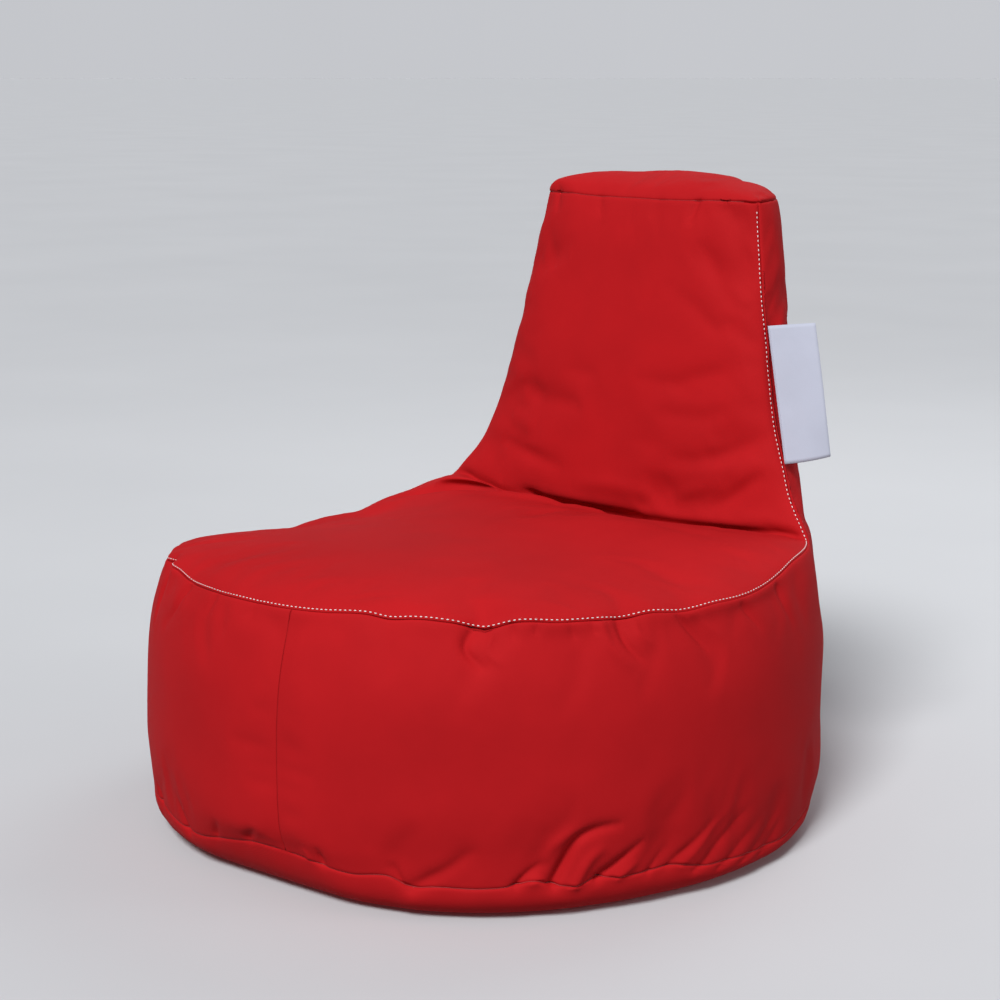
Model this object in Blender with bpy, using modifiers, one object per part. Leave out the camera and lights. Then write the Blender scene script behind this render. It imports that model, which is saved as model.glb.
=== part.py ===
"""Bean bag chair: a round drum seat with a tapering backrest, sewn from fabric panels.

Frame: metres, +Z up, the origin at the centre of the drum on the floor, the front towards -Y.
Angles round the drum are measured from the rear (+Y), positive towards +X.
"""
import math

import bmesh
import bpy
import numpy as np
from mathutils import Matrix, Vector

# ---- Driving dimensions -------------------------------------------------------------------
FLOOR_R = 0.363            # flat of the base panel on the floor
BASE_R, BASE_Z = 0.412, 0.042      # base seam
LOW_R, LOW_Z = 0.418, 0.100
WALL_R, WALL_Z = 0.418, 0.150      # widest level of the wall
HIGH_R, HIGH_Z = 0.411, 0.250
SEAT_R, SEAT_Z = 0.390, 0.330      # seat seam
SETTLE = 0.060             # how far the rear of the left side has settled
SEAT_CROWN = 0.045         # height of the seat's crown over its seam
CORNER = (0.314, 0.250, 0.345)     # where the seat seam turns up the backrest
CREASE_Y = 0.225           # middle of the fold between seat and backrest
CREASE_DIP = 0.012
BACK_STATIONS = (0.345, 0.400, 0.460, 0.530, 0.620, 0.744)      # heights
BACK_HALF_WIDTHS = (0.314, 0.268, 0.240, 0.220, 0.199, 0.172)   # seam to middle at each height
BACK_LEAN = 0.132          # rearward run of the back seam per metre of height
BACK_BULGE = 0.045         # how far the back's front stands proud of its seams
BULGE_STATIONS = (0.345, 0.400, 0.500, 0.744)
BULGE_SHARES = (0.55, 0.75, 0.90, 0.75)
REAR_STATIONS = (0.345, 0.450, 0.600, 0.744)
REAR_SQUARENESS = (1.70, 1.78, 2.05, 2.10)     # plan of the back's rear: 2 is an ellipse
REAR_TOP_Y = 0.436         # rear middle line at the cap seam
TOP_Z = BACK_STATIONS[-1]
DOME = 0.023               # height of the cap over its seam

FABRIC = 0.0010            # coated fabric with its backing
SEAM_GAP = 0.0020          # from a seam line to each panel's edge
ZIP_EDGE = 0.0048          # from the rear middle line to each side panel's edge
LINER_DEPTH = 0.0045       # liner under the cover
LINER_CLOTH = 0.0006
FILL_DEPTH = 0.0070        # bead fill under the cover
STITCH_INSET = 0.0050      # contrast stitching from the panel's edge
THREAD_R = 0.0006
THREAD_LIFT = 0.0032       # thread's middle over the panel's face

ZIP_BOTTOM, ZIP_TOP = 0.200, 0.610         # travel of the slider up the rear line
TAPE_WIDTH, TAPE_THICK = 0.0115, 0.0006
TAPE_SETBACK = 0.0004      # from the coil's inner side to the tape's edge
TAPE_EXTRA = 0.040         # tape beyond the zip, both ends together
TAPE_DEPTH = 0.0029        # outer face of the tape under the rear line
COIL_WIDTH, COIL_THICK = 0.0018, 0.0014
COIL_GAP = 0.0006          # from the rear middle line to each coil
COIL_DROP = -0.0060        # the coils end under the slider
STOP_SPACE = 0.0120        # from the end of the slider's travel to each stop
STOP_SIZE = (0.0056, 0.0020, 0.0040)
SLIDER_WIDTH, SLIDER_THICK, SLIDER_LENGTH = 0.0080, 0.0022, 0.0120
SLIDER_LIFT = 0.0005       # slider's underside outside the rear line
BRIDGE_SIZE = (0.0028, 0.0018, 0.0080)
PULL_LENGTH, PULL_WIDTH, PULL_THICK = 0.0300, 0.0070, 0.0012
PLAY = 0.0003              # running clearance between small parts

LABEL_LOW_Z, LABEL_HIGH_Z = 0.427, 0.592
LABEL_WIDTH, LABEL_THICK = 0.060, 0.0014
LABEL_YAW = math.radians(48.0)     # the flag's direction from +X towards +Y
LABEL_ROOT = 0.0035

HANDLE_Z = 0.688
HANDLE_HALF = 0.062        # hinge line's half length
HANDLE_REACH = 0.034
HANDLE_STANDOFF = 0.0085   # hinge line outside the rear panels
HANDLE_WIDTH, HANDLE_END_WIDTH = 0.024, 0.009
HANDLE_THICK = 0.0026
HANDLE_DROOP = math.radians(50.0)
TAB_LENGTH = 0.030
TAB_SPACE = 0.0025         # from the strap's end to each tab
TAB_THICK = 0.0022

# Quads across and along the cover
ACROSS = 14
SEAT_FRONT_ROWS = 6
SEAT_REAR_ROWS = 4
BACK_ROWS = 10
WALL_ROWS = 4
CAP_ROWS = 3
BASE_LEVELS = (0.0, 0.6, 1.0, 1.55, 2.0)
FRONT_SEAM_COLUMN = 2      # the wall's front seam stands this many columns right of the middle

SINK_EASE = 0.01           # evens out the inward move where the faces round a point disagree
SINK_LIMIT = 2.0           # most that a point moves, in depths

CORNER_X, CORNER_Y, CORNER_Z = CORNER
CORNER_ANGLE = math.atan2(CORNER_X, CORNER_Y)
CORNER_R = math.hypot(CORNER_X, CORNER_Y)
REAR_SLOPE = (REAR_TOP_Y - WALL_R) / (TOP_Z - WALL_Z)
REAR_LEAN = math.atan(REAR_SLOPE)


# ---- Curves -------------------------------------------------------------------------------
def smooth(lo, hi, x):
    """0 below lo, 1 above hi, with a smooth S between."""
    t = np.clip((x - lo) / (hi - lo), 0.0, 1.0)
    return t * t * (3.0 - 2.0 * t)


def through(x, stations, values):
    """Smooth curve through the values at the stations."""
    s = np.asarray(stations, float)
    v = np.asarray(values, float)
    step = np.diff(s)
    rate = np.diff(v) / step
    slope = np.concatenate(([rate[0]], rate[:-1], [rate[-1]]))
    slope[1:-1] = (rate[:-1] * step[1:] + rate[1:] * step[:-1]) / (step[1:] + step[:-1])
    x = np.clip(x, s[0], s[-1])
    i = np.clip(np.searchsorted(s, x, side="right") - 1, 0, len(step) - 1)
    t = (x - s[i]) / step[i]
    ends = (1 + 2 * t) * (1 - t) ** 2 * v[i] + t * t * (3 - 2 * t) * v[i + 1]
    return ends + step[i] * (t * (1 - t) ** 2 * slope[i] + t * t * (t - 1) * slope[i + 1])


def drum_radius(z):
    """Profile of the wall as if the seat seam were level."""
    return through(z, (BASE_Z, LOW_Z, WALL_Z, HIGH_Z, SEAT_Z), (BASE_R, LOW_R, WALL_R, HIGH_R, SEAT_R))


def rear_line(z):
    """Y of the rear middle line, straight above the widest level."""
    low = through(z, (BASE_Z, LOW_Z, WALL_Z), (BASE_R, LOW_R, WALL_R))
    return np.where(z < WALL_Z, low, WALL_R + REAR_SLOPE * (z - WALL_Z))


def seam_radius(angle):
    """Radius of the seat seam, which widens slightly towards the back's corners."""
    return SEAT_R + (CORNER_R - SEAT_R) * smooth(math.radians(75), CORNER_ANGLE, np.abs(angle))


def seam_height(angle):
    """Height of the seat seam: it climbs to the corners, and the left rear has settled."""
    climb = smooth(math.radians(100), CORNER_ANGLE, np.abs(angle))
    side = smooth(-0.3, 0.9, -np.sin(angle)) * smooth(-1.0, 0.1, np.cos(angle))
    settled = SETTLE * side * (1.0 - smooth(0.25, 0.58, np.cos(angle)))
    return SEAT_Z + (CORNER_Z - SEAT_Z) * climb - settled


def back_half_width(z):
    return through(z, BACK_STATIONS, BACK_HALF_WIDTHS)


def back_seam_y(z):
    return CORNER_Y + BACK_LEAN * (z - CORNER_Z)


# ---- Surfaces of the cover ----------------------------------------------------------------
def wall_front(angle, s):
    """Drum wall between the back's corners, s from the base seam (0) to the seat seam (1)."""
    z = BASE_Z + (seam_height(angle) - BASE_Z) * s
    r = drum_radius(BASE_Z + (SEAT_Z - BASE_Z) * s) + (seam_radius(angle) - SEAT_R) * s
    return np.array((r * math.sin(angle), r * math.cos(angle), z))


def rear_edge(z):
    """Right end of the rear wall at height z: under the corner on the drum, above it on the seam."""
    if z >= CORNER_Z:
        return float(back_half_width(z)), back_seam_y(z)
    r = drum_radius(BASE_Z + (SEAT_Z - BASE_Z) * (z - BASE_Z) / (CORNER_Z - BASE_Z))
    r += (CORNER_R - SEAT_R) * (z - BASE_Z) / (CORNER_Z - BASE_Z)
    return r * math.sin(CORNER_ANGLE), r * math.cos(CORNER_ANGLE)


def wall_rear(a, z):
    """Rear wall from the base seam up to the cap seam, a from -1 to 1 between the corners.

    Its outline is an arc of the drum low down, and the backrest's rounded rear higher up.
    """
    edge_x, edge_y = rear_edge(z)
    depth = rear_line(z) - edge_y
    turn = a * CORNER_ANGLE
    arc_x = math.sin(turn) / math.sin(CORNER_ANGLE)
    arc_y = (math.cos(turn) - math.cos(CORNER_ANGLE)) / (1 - math.cos(CORNER_ANGLE))
    power = 2.0 / through(z, REAR_STATIONS, REAR_SQUARENESS)
    back_x = math.copysign(abs(math.sin(a * math.pi / 2)) ** power, a)
    back_y = abs(math.cos(a * math.pi / 2)) ** power
    blend = smooth(0.30, 0.47, z)
    x = edge_x * (arc_x + (back_x - arc_x) * blend)
    return np.array((x, edge_y + depth * (arc_y + (back_y - arc_y) * blend), z))


def seat_height(x, y, angle):
    """Height of the crowned seat at x, y, between the seam points at plus and minus the angle."""
    r = seam_radius(angle)
    u = max(-1.0, min(1.0, x / max(r * math.sin(angle), 1e-6)))
    rim = seam_height(angle) * (1 + u) / 2 + seam_height(-angle) * (1 - u) / 2
    rho = min((x * x + y * y) / (r * r), 1.0)
    crown = SEAT_CROWN * (1 - rho) ** 0.55 * (1 - smooth(0.10, 0.26, y))
    return rim + crown - CREASE_DIP * smooth(0.10, 0.25, y) * (1 - u * u)


def seat_front(p, q):
    """Front half of the seat, a square grid p, q mapped onto the half disc (q from -1 to 0)."""
    x = SEAT_R * p * math.sqrt(1 - q * q / 2)
    y = SEAT_R * q * math.sqrt(1 - p * p / 2)
    angle = math.acos(max(-1.0, min(1.0, y / SEAT_R)))
    return np.array((x, y, seat_height(x, y, angle)))


def seat_rear(u, t):
    """Rear of the seat, from the middle of the drum (t = 0) to the crease (t = 1)."""
    angle = math.pi / 2 + (CORNER_ANGLE - math.pi / 2) * t
    x = u * seam_radius(angle) * math.sin(angle)
    y = seam_radius(angle) * math.cos(angle)
    bow = (CREASE_Y - CORNER_Y) * (1 - u * u) * smooth(0.0, 1.0, t)
    return np.array((x, y + bow, seat_height(x, y, angle)))


def back_front(u, z):
    """Front of the backrest, bulging between its seams."""
    bulge = BACK_BULGE * through(z, BULGE_STATIONS, BULGE_SHARES)
    y = back_seam_y(z) - bulge * (1 - abs(u) ** 2.6) ** (1 / 1.8)
    dip = CREASE_DIP * (1 - u * u) * (1 - smooth(CORNER_Z, 0.40, z))
    return np.array((u * back_half_width(z), y, z - dip))


def cap(u, t):
    """Top cap, t from the front seam (0) to the rear seam (1)."""
    front = back_front(u, TOP_Z)
    point = front + (wall_rear(u, TOP_Z) - front) * t
    point[2] += DOME * (1 - abs(u) ** 3) ** 0.6 * min(4 * t * (1 - t), 1.0) ** 0.6
    return point


def base_point(angle, level):
    """Base panel: level 0 at the middle, 1 at the edge of the flat, 2 at the base seam."""
    if level <= 1:
        return np.array((FLOOR_R * level * math.sin(angle), FLOOR_R * level * math.cos(angle), 0.0))
    turn = (level - 1) * math.pi / 2
    r = FLOOR_R + (BASE_R - FLOOR_R) * math.sin(turn)
    return np.array((r * math.sin(angle), r * math.cos(angle), BASE_Z * (1 - math.cos(turn))))


# ---- Grids of points ----------------------------------------------------------------------
def spread(lo, hi, count):
    return [lo + (hi - lo) * i / count for i in range(count + 1)]


def back_heights():
    return spread(CORNER_Z, TOP_Z, BACK_ROWS)


def front_panel_grid():
    """Rows of points from the seat's front edge over the crease to the top of the back."""
    across = spread(-1.0, 1.0, ACROSS)
    rows = [[seat_front(p, q) for p in across] for q in spread(-1.0, 0.0, SEAT_FRONT_ROWS)]
    rows += [[seat_rear(u, t) for u in across] for t in spread(0.0, 1.0, SEAT_REAR_ROWS)[1:]]
    crease = rows[-1]
    rows += [[back_front(u, z) for u in across] for z in back_heights()[1:]]
    for point, u in zip(crease, across):
        point[2] = back_front(u, CORNER_Z)[2]
    return rows


def seam_angles():
    """Angles of the wall's columns from the front middle round to the right corner."""
    arc = [math.pi - math.asin(p / math.sqrt(2)) for p in spread(0.0, 1.0, ACROSS // 2)]
    for q in spread(-1.0, 0.0, SEAT_FRONT_ROWS)[1:]:
        arc.append(math.atan2(math.sqrt(1 - q * q / 2), q * math.sqrt(0.5)))
    arc += spread(math.pi / 2, CORNER_ANGLE, SEAT_REAR_ROWS)[1:]
    return arc


def drum_columns(side):
    """Angles of one side's columns, from the front seam round to that side's corner."""
    arc = seam_angles()
    if side > 0:
        return arc[FRONT_SEAM_COLUMN:]
    return arc[FRONT_SEAM_COLUMN:0:-1] + [-angle for angle in arc]


def side_panel_grids(side):
    """Two grids of one side's wall: round the drum, and up the rear. side is 1 (+X) or -1."""
    levels = spread(0.0, 1.0, WALL_ROWS)
    heights = [BASE_Z + (CORNER_Z - BASE_Z) * s for s in levels] + back_heights()[1:]
    drum = [[wall_front(angle, s) for angle in drum_columns(side)] for s in levels]
    rear = [[wall_rear(side * a, z) for a in spread(1.0, 0.0, ACROSS // 2)] for z in heights]
    return drum, rear


def cap_grid():
    return [[cap(u, t) for u in spread(-1.0, 1.0, ACROSS)] for t in spread(0.0, 1.0, CAP_ROWS)]


def base_grid():
    half = seam_angles() + [a * CORNER_ANGLE for a in spread(1.0, 0.0, ACROSS // 2)[1:]]
    ring = half + [-angle for angle in reversed(half[:-1])]
    return [[base_point(angle, level) for angle in ring] for level in BASE_LEVELS]


# ---- Meshes -------------------------------------------------------------------------------
def sewn_mesh(grids):
    """One bmesh of the grids' quads, joined where their edges meet, faces pointing out."""
    bm = bmesh.new()
    for rows in grids:
        verts = [[bm.verts.new(Vector(point)) for point in row] for row in rows]
        for low, high in zip(verts[:-1], verts[1:]):
            for i in range(len(low) - 1):
                bm.faces.new((low[i], low[i + 1], high[i + 1], high[i]))
    bmesh.ops.remove_doubles(bm, verts=bm.verts, dist=2e-5)
    bmesh.ops.dissolve_degenerate(bm, dist=1e-6, edges=bm.edges)
    bmesh.ops.recalc_face_normals(bm, faces=bm.faces)
    centre = Vector((0.0, 0.0, 0.2))
    if sum((f.calc_center_median() - centre).dot(f.normal) * f.calc_area() for f in bm.faces) < 0:
        bmesh.ops.reverse_faces(bm, faces=bm.faces)
    bm.normal_update()
    return bm


def border_frames(bm):
    """For each border vertex, its normal and the direction into the panel."""
    frames = {}
    for vert in bm.verts:
        edges = [edge for edge in vert.link_edges if edge.is_boundary]
        if not edges:
            continue
        inward = [into_face(edge) for edge in edges]
        direction = sum(inward, Vector()).normalized()
        normal = sum((edge.link_faces[0].normal for edge in edges), Vector()).normalized()
        frames[vert] = (normal, direction, max(direction.dot(inward[0]), 0.5))
    return frames


def into_face(edge):
    """Unit direction from a border edge into its face, in the face's plane."""
    face = edge.link_faces[0]
    along = (edge.verts[1].co - edge.verts[0].co).normalized()
    across = face.normal.cross(along).normalized()
    middle = (edge.verts[0].co + edge.verts[1].co) / 2
    return across if across.dot(face.calc_center_median() - middle) > 0 else -across


def panel_edge_gap(point):
    """Distance from the seam line to the panel's edge, wider beside the zip."""
    on_rear_line = abs(point.x) < 1e-4 and point.y > 0.1
    return ZIP_EDGE if on_rear_line else SEAM_GAP


def trim_border(bm):
    frames = border_frames(bm)
    moves = {v: d * (panel_edge_gap(v.co) / c) for v, (_, d, c) in frames.items()}
    for vert, move in moves.items():
        vert.co += move
    bm.normal_update()


def sink(bm, depth):
    """Move every vertex inward, so that the faces round it lie depth under where they were."""
    moves = {}
    for vert in bm.verts:
        normals = np.array([face.normal for face in vert.link_faces])
        spread_out = normals.T @ normals + np.eye(3) * SINK_EASE * len(normals)
        move = Vector(np.linalg.solve(spread_out, normals.sum(axis=0) * -depth))
        moves[vert] = move * min(1.0, SINK_LIMIT * depth / move.length)
    for vert, move in moves.items():
        vert.co += move
    bm.normal_update()


def material(name, colour, roughness, metallic=0.0):
    made = bpy.data.materials.new(name)
    made.use_nodes = True
    shader = made.node_tree.nodes["Principled BSDF"]
    shader.inputs["Base Color"].default_value = (*colour, 1.0)
    shader.inputs["Roughness"].default_value = roughness
    shader.inputs["Metallic"].default_value = metallic
    return made


def add_object(name, data, look, at=(0.0, 0.0, 0.0), lean=0.0):
    obj = bpy.data.objects.new(name, data)
    obj.location = at
    obj.rotation_euler = (lean, 0.0, 0.0)
    data.materials.append(look)
    PARTS.objects.link(obj)
    return obj


def object_from_bmesh(name, bm, look, at=(0.0, 0.0, 0.0), lean=0.0):
    mesh = bpy.data.meshes.new(name)
    bm.to_mesh(mesh)
    bm.free()
    mesh.shade_smooth()
    return add_object(name, mesh, look, at, lean)


def fabric_shell(name, bm, look, cloth):
    """An open panel given its cloth's thickness, inward."""
    obj = object_from_bmesh(name, bm, look)
    shell = obj.modifiers.new("Cloth", "SOLIDIFY")
    shell.thickness = cloth
    shell.offset = -1.0
    return obj


def thread(name, points, look, closed=False):
    """A sewing thread through the points."""
    curve = bpy.data.curves.new(name, "CURVE")
    curve.dimensions = "3D"
    curve.bevel_depth = THREAD_R
    curve.bevel_resolution = 1
    curve.use_fill_caps = not closed
    spline = curve.splines.new("POLY")
    spline.points.add(len(points) - 1)
    for slot, point in zip(spline.points, points):
        slot.co = (*point, 1.0)
    spline.use_cyclic_u = closed
    return add_object(name, curve, look)


def block(name, size, centre, look, at=(0.0, 0.0, 0.0), lean=0.0, bevel=0.0):
    """A box in the object's own frame, with rounded edges."""
    bm = bmesh.new()
    place = Matrix.Translation(centre) @ Matrix.Diagonal((*size, 1.0))
    bmesh.ops.create_cube(bm, size=1.0, matrix=place)
    obj = object_from_bmesh(name, bm, look, at, lean)
    if bevel:
        edge = obj.modifiers.new("Edges", "BEVEL")
        edge.width = bevel
        edge.segments = 2
    return obj


def strip(name, outline, half_width, look, at=(0.0, 0.0, 0.0), lean=0.0):
    """A band with a closed outline in X and Y; half_width(x) is its half width in Z."""
    bm = bmesh.new()
    low = [bm.verts.new((x, y, -half_width(x))) for x, y in outline]
    high = [bm.verts.new((x, y, half_width(x))) for x, y in outline]
    count = len(outline)
    for i in range(count):
        j = (i + 1) % count
        bm.faces.new((low[i], low[j], high[j], high[i]))
    for i in range(count // 2 - 1):
        a, b, c, d = i, i + 1, count - 2 - i, count - 1 - i
        bm.faces.new((low[d], low[c], low[b], low[a]))
        bm.faces.new((high[a], high[b], high[c], high[d]))
    bmesh.ops.recalc_face_normals(bm, faces=bm.faces)
    return object_from_bmesh(name, bm, look, at, lean)


# ---- Cover, liner and fill ----------------------------------------------------------------
def make_cover(looks):
    panels = {
        "seat_back_panel": [front_panel_grid()],
        "side_panel_right": side_panel_grids(1),
        "side_panel_left": side_panel_grids(-1),
        "top_cap_panel": [cap_grid()],
        "base_panel": [base_grid()],
    }
    for name, grids in panels.items():
        bm = sewn_mesh(grids)
        trim_border(bm)
        fabric_shell(name, bm, looks["base_cloth" if name == "base_panel" else "cover_cloth"], FABRIC)


def whole_surface():
    grids = [front_panel_grid(), cap_grid(), base_grid()]
    return sewn_mesh(grids + [*side_panel_grids(1), *side_panel_grids(-1)])


def make_liner(looks):
    """Inner bag, open at the rear behind the zip, where it is filled."""
    bm = whole_surface()
    sink(bm, LINER_DEPTH)
    mouth = [f for f in bm.faces if is_mouth(f.calc_center_median())]
    bmesh.ops.delete(bm, geom=mouth, context="FACES")
    fabric_shell("inner_liner", bm, looks["liner_cloth"], LINER_CLOTH)


def is_mouth(centre):
    behind_zip = abs(centre.x) < 0.06 and centre.y > 0.3
    return behind_zip and ZIP_BOTTOM + 0.10 < centre.z < ZIP_TOP - 0.10


def make_fill(looks):
    bm = whole_surface()
    sink(bm, FILL_DEPTH)
    object_from_bmesh("bead_fill", bm, looks["beads"])


# ---- Threads ------------------------------------------------------------------------------
def along_border(bm, points, inset):
    """Points just outside a panel, inset from its border near each of the given points."""
    frames = border_frames(bm)
    route = []
    for point in points:
        vert = min(frames, key=lambda v: (v.co - Vector(point)).length)
        normal, direction, _ = frames[vert]
        route.append(vert.co + direction * inset + normal * THREAD_LIFT)
    return route


def make_topstitch(looks):
    """White lockstitch round the seat and up both sides of the back."""
    rows = front_panel_grid()
    left_side = [row[0] for row in reversed(rows[1:])]
    right_side = [row[-1] for row in rows[1:]]
    bm = sewn_mesh([rows])
    trim_border(bm)
    thread("topstitch_thread", along_border(bm, left_side + rows[0] + right_side, STITCH_INSET),
           looks["white_thread"])
    bm.free()


def make_seam_threads(looks):
    """Self-colour seam threads: each lies in the groove between two panels' edges."""
    front = [wall_front(seam_angles()[FRONT_SEAM_COLUMN], s) for s in spread(0.03, 0.96, 10)]
    thread("front_seam_thread", front, looks["red_thread"])
    ring = base_grid()[-1][:-1]
    thread("base_seam_thread", ring, looks["red_thread"], closed=True)
    rear = [wall_rear(a, TOP_Z) for a in spread(-0.97, 0.97, ACROSS)]
    thread("cap_rear_thread", rear, looks["red_thread"])
    brow = [back_front(u, TOP_Z) for u in spread(-0.97, 0.97, ACROSS)]
    thread("cap_front_thread", brow, looks["red_thread"])


# ---- Rear zip -----------------------------------------------------------------------------
def zip_origin(z):
    return (0.0, float(rear_line(np.float64(z))), z)


def make_zip(looks):
    """Coil zip in the rear seam, closed, with its slider at the top."""
    length = ZIP_TOP - ZIP_BOTTOM
    middle = zip_origin((ZIP_TOP + ZIP_BOTTOM) / 2)
    for side, word in ((1, "right"), (-1, "left")):
        tape = (side * (COIL_GAP + TAPE_SETBACK + TAPE_WIDTH / 2), -TAPE_DEPTH - TAPE_THICK / 2, 0.0)
        block(f"zip_tape_{word}", (TAPE_WIDTH, TAPE_THICK, length + TAPE_EXTRA), tape,
              looks["tape"], middle, -REAR_LEAN)
        coil = (side * (COIL_GAP + COIL_WIDTH / 2), -TAPE_DEPTH + PLAY + COIL_THICK / 2, COIL_DROP)
        block(f"zip_coil_{word}", (COIL_WIDTH, COIL_THICK, length + 2 * COIL_DROP), coil,
              looks["coil"], middle, -REAR_LEAN, bevel=0.0004)
    for z, word in ((ZIP_TOP + STOP_SPACE, "top"), (ZIP_BOTTOM - STOP_SPACE, "bottom")):
        block(f"zip_{word}_stop", STOP_SIZE, (0.0, -TAPE_DEPTH + PLAY + STOP_SIZE[1] / 2, 0.0),
              looks["metal"], zip_origin(z), -REAR_LEAN, bevel=0.0003)
    make_slider(looks)


def make_slider(looks):
    """Slider body with its bridge, and the pull tab hinged on the bridge at its top end."""
    at = zip_origin(ZIP_TOP)
    body_top = SLIDER_LIFT + SLIDER_THICK
    block("zip_slider", (SLIDER_WIDTH, SLIDER_THICK, SLIDER_LENGTH),
          (0.0, SLIDER_LIFT + SLIDER_THICK / 2, 0.0), looks["metal"], at, -REAR_LEAN, bevel=0.0006)
    bridge_top = body_top + PLAY + BRIDGE_SIZE[1]
    block("zip_slider_bridge", BRIDGE_SIZE, (0.0, bridge_top - BRIDGE_SIZE[1] / 2, 0.0),
          looks["metal"], at, -REAR_LEAN, bevel=0.0005)
    axis = Vector((0.0, bridge_top + PLAY + PULL_THICK / 2, 0.0))
    hinge = Vector(at) + Matrix.Rotation(-REAR_LEAN, 3, "X") @ axis
    drop = PULL_THICK / 2 - PULL_LENGTH / 2
    block("zip_pull_tab", (PULL_WIDTH, PULL_THICK, PULL_LENGTH), (0.0, 0.0, drop),
          looks["metal"], hinge, -REAR_LEAN, bevel=0.0004)


# ---- Flag label and carry handle ----------------------------------------------------------
def label_ends():
    return [Vector((float(back_half_width(z)), float(back_seam_y(z)), z))
            for z in (LABEL_LOW_Z, LABEL_HIGH_Z)]


def make_label(looks):
    """Folded label sewn into the right back seam; its origin is on the seam line."""
    low, high = label_ends()
    up = (high - low).normalized()
    out = Vector((math.cos(LABEL_YAW), math.sin(LABEL_YAW), 0.0))
    out = (out - up * out.dot(up)).normalized()
    length = (high - low).length
    bm = bmesh.new()
    size = Matrix.Diagonal((LABEL_WIDTH, LABEL_THICK, length, 1.0))
    centre = Matrix.Translation((LABEL_ROOT + LABEL_WIDTH / 2, 0.0, 0.0))
    bmesh.ops.create_cube(bm, size=1.0, matrix=centre @ size)
    obj = object_from_bmesh("flag_label", bm, looks["label_cloth"], (low + high) / 2)
    turn = Matrix((out, up.cross(out), up)).transposed()
    obj.rotation_euler = turn.to_euler()


def handle_bow(x):
    """Distance of the strap's middle from the hinge line."""
    return HANDLE_REACH * (1 - (x / HANDLE_HALF) ** 2) ** 0.6


def handle_half_width(x):
    share = min(abs(x) / HANDLE_HALF, 1.0)
    return (HANDLE_WIDTH + (HANDLE_END_WIDTH - HANDLE_WIDTH) * smooth(0.45, 0.95, share)) / 2


def make_handle(looks):
    """Soft strap that hangs from two sewn tabs; its origin is on the line between them."""
    rear_y = float(rear_line(np.float64(HANDLE_Z)))
    hinge_y = rear_y + HANDLE_STANDOFF
    turns = spread(-math.pi / 2, math.pi / 2, 18)
    inner = [(HANDLE_HALF * math.sin(t) * 0.985, handle_bow(HANDLE_HALF * math.sin(t)) - HANDLE_THICK / 2)
             for t in turns]
    outer = [(HANDLE_HALF * math.sin(t), handle_bow(HANDLE_HALF * math.sin(t)) + HANDLE_THICK / 2)
             for t in reversed(turns)]
    strip("carry_handle", inner + outer, handle_half_width, looks["strap"],
          (0.0, hinge_y, HANDLE_Z), -HANDLE_DROOP)
    for side, word in ((1, "right"), (-1, "left")):
        make_handle_tab(f"handle_tab_{word}", side, hinge_y, looks)


def make_handle_tab(name, side, hinge_y, looks):
    """Folded end of the webbing, sewn to the side panel beside the strap."""
    near = HANDLE_HALF + TAB_SPACE
    far = near + TAB_LENGTH
    xs = spread(near, far, 4)
    skin = [rear_skin_y(x) + 4 * PLAY for x in xs]
    rise = (hinge_y - skin[0]) * (1 - smooth(near, near + TAB_LENGTH * 0.4, np.array(xs)))
    top = [y + TAB_THICK + lift for y, lift in zip(skin, rise)]
    outline = [(side * x, y - hinge_y) for x, y in zip(xs, skin)]
    outline += [(side * x, y - hinge_y) for x, y in zip(xs[::-1], top[::-1])]
    strip(name, outline, lambda x: HANDLE_WIDTH / 2, looks["strap"], (0.0, hinge_y, HANDLE_Z))


def rear_skin_y(x):
    """Y of the side panel's outside at the handle's height."""
    samples = [wall_rear(a, HANDLE_Z) for a in spread(0.0, 1.0, 60)]
    return float(np.interp(x, [p[0] for p in samples], [p[1] for p in samples]))


# ---- Build --------------------------------------------------------------------------------
def clear_scene():
    for obj in list(bpy.data.objects):
        bpy.data.objects.remove(obj, do_unlink=True)


def make_looks():
    return {
        "cover_cloth": material("cover_cloth", (0.50, 0.014, 0.018), 0.55),
        "base_cloth": material("base_cloth", (0.46, 0.012, 0.016), 0.60),
        "liner_cloth": material("liner_cloth", (0.75, 0.75, 0.72), 0.80),
        "beads": material("beads", (0.90, 0.90, 0.90), 0.50),
        "white_thread": material("white_thread", (0.85, 0.80, 0.80), 0.60),
        "red_thread": material("red_thread", (0.42, 0.012, 0.016), 0.60),
        "tape": material("tape", (0.40, 0.012, 0.016), 0.70),
        "coil": material("coil", (0.42, 0.014, 0.018), 0.40),
        "metal": material("metal", (0.60, 0.60, 0.62), 0.30, 1.0),
        "label_cloth": material("label_cloth", (0.72, 0.72, 0.80), 0.50),
        "strap": material("strap", (0.42, 0.012, 0.016), 0.65),
    }


clear_scene()
PARTS = bpy.data.collections.new("bean_bag_chair")
bpy.context.scene.collection.children.link(PARTS)
LOOKS = make_looks()
make_cover(LOOKS)
make_liner(LOOKS)
make_fill(LOOKS)
make_topstitch(LOOKS)
make_seam_threads(LOOKS)
make_zip(LOOKS)
make_label(LOOKS)
make_handle(LOOKS)
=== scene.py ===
"""Looks of the bean bag chair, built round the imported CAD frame.

Metres, +Z up, the front towards -Y. Angles round the drum are measured from the rear (+Y), positive
towards +X. The cover is one closed surface, puckered by a cloth simulation, then cut into its panels.
"""
import math

import bmesh
import bpy
import numpy as np
from mathutils import Matrix, Vector
from mathutils.bvhtree import BVHTree


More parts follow.
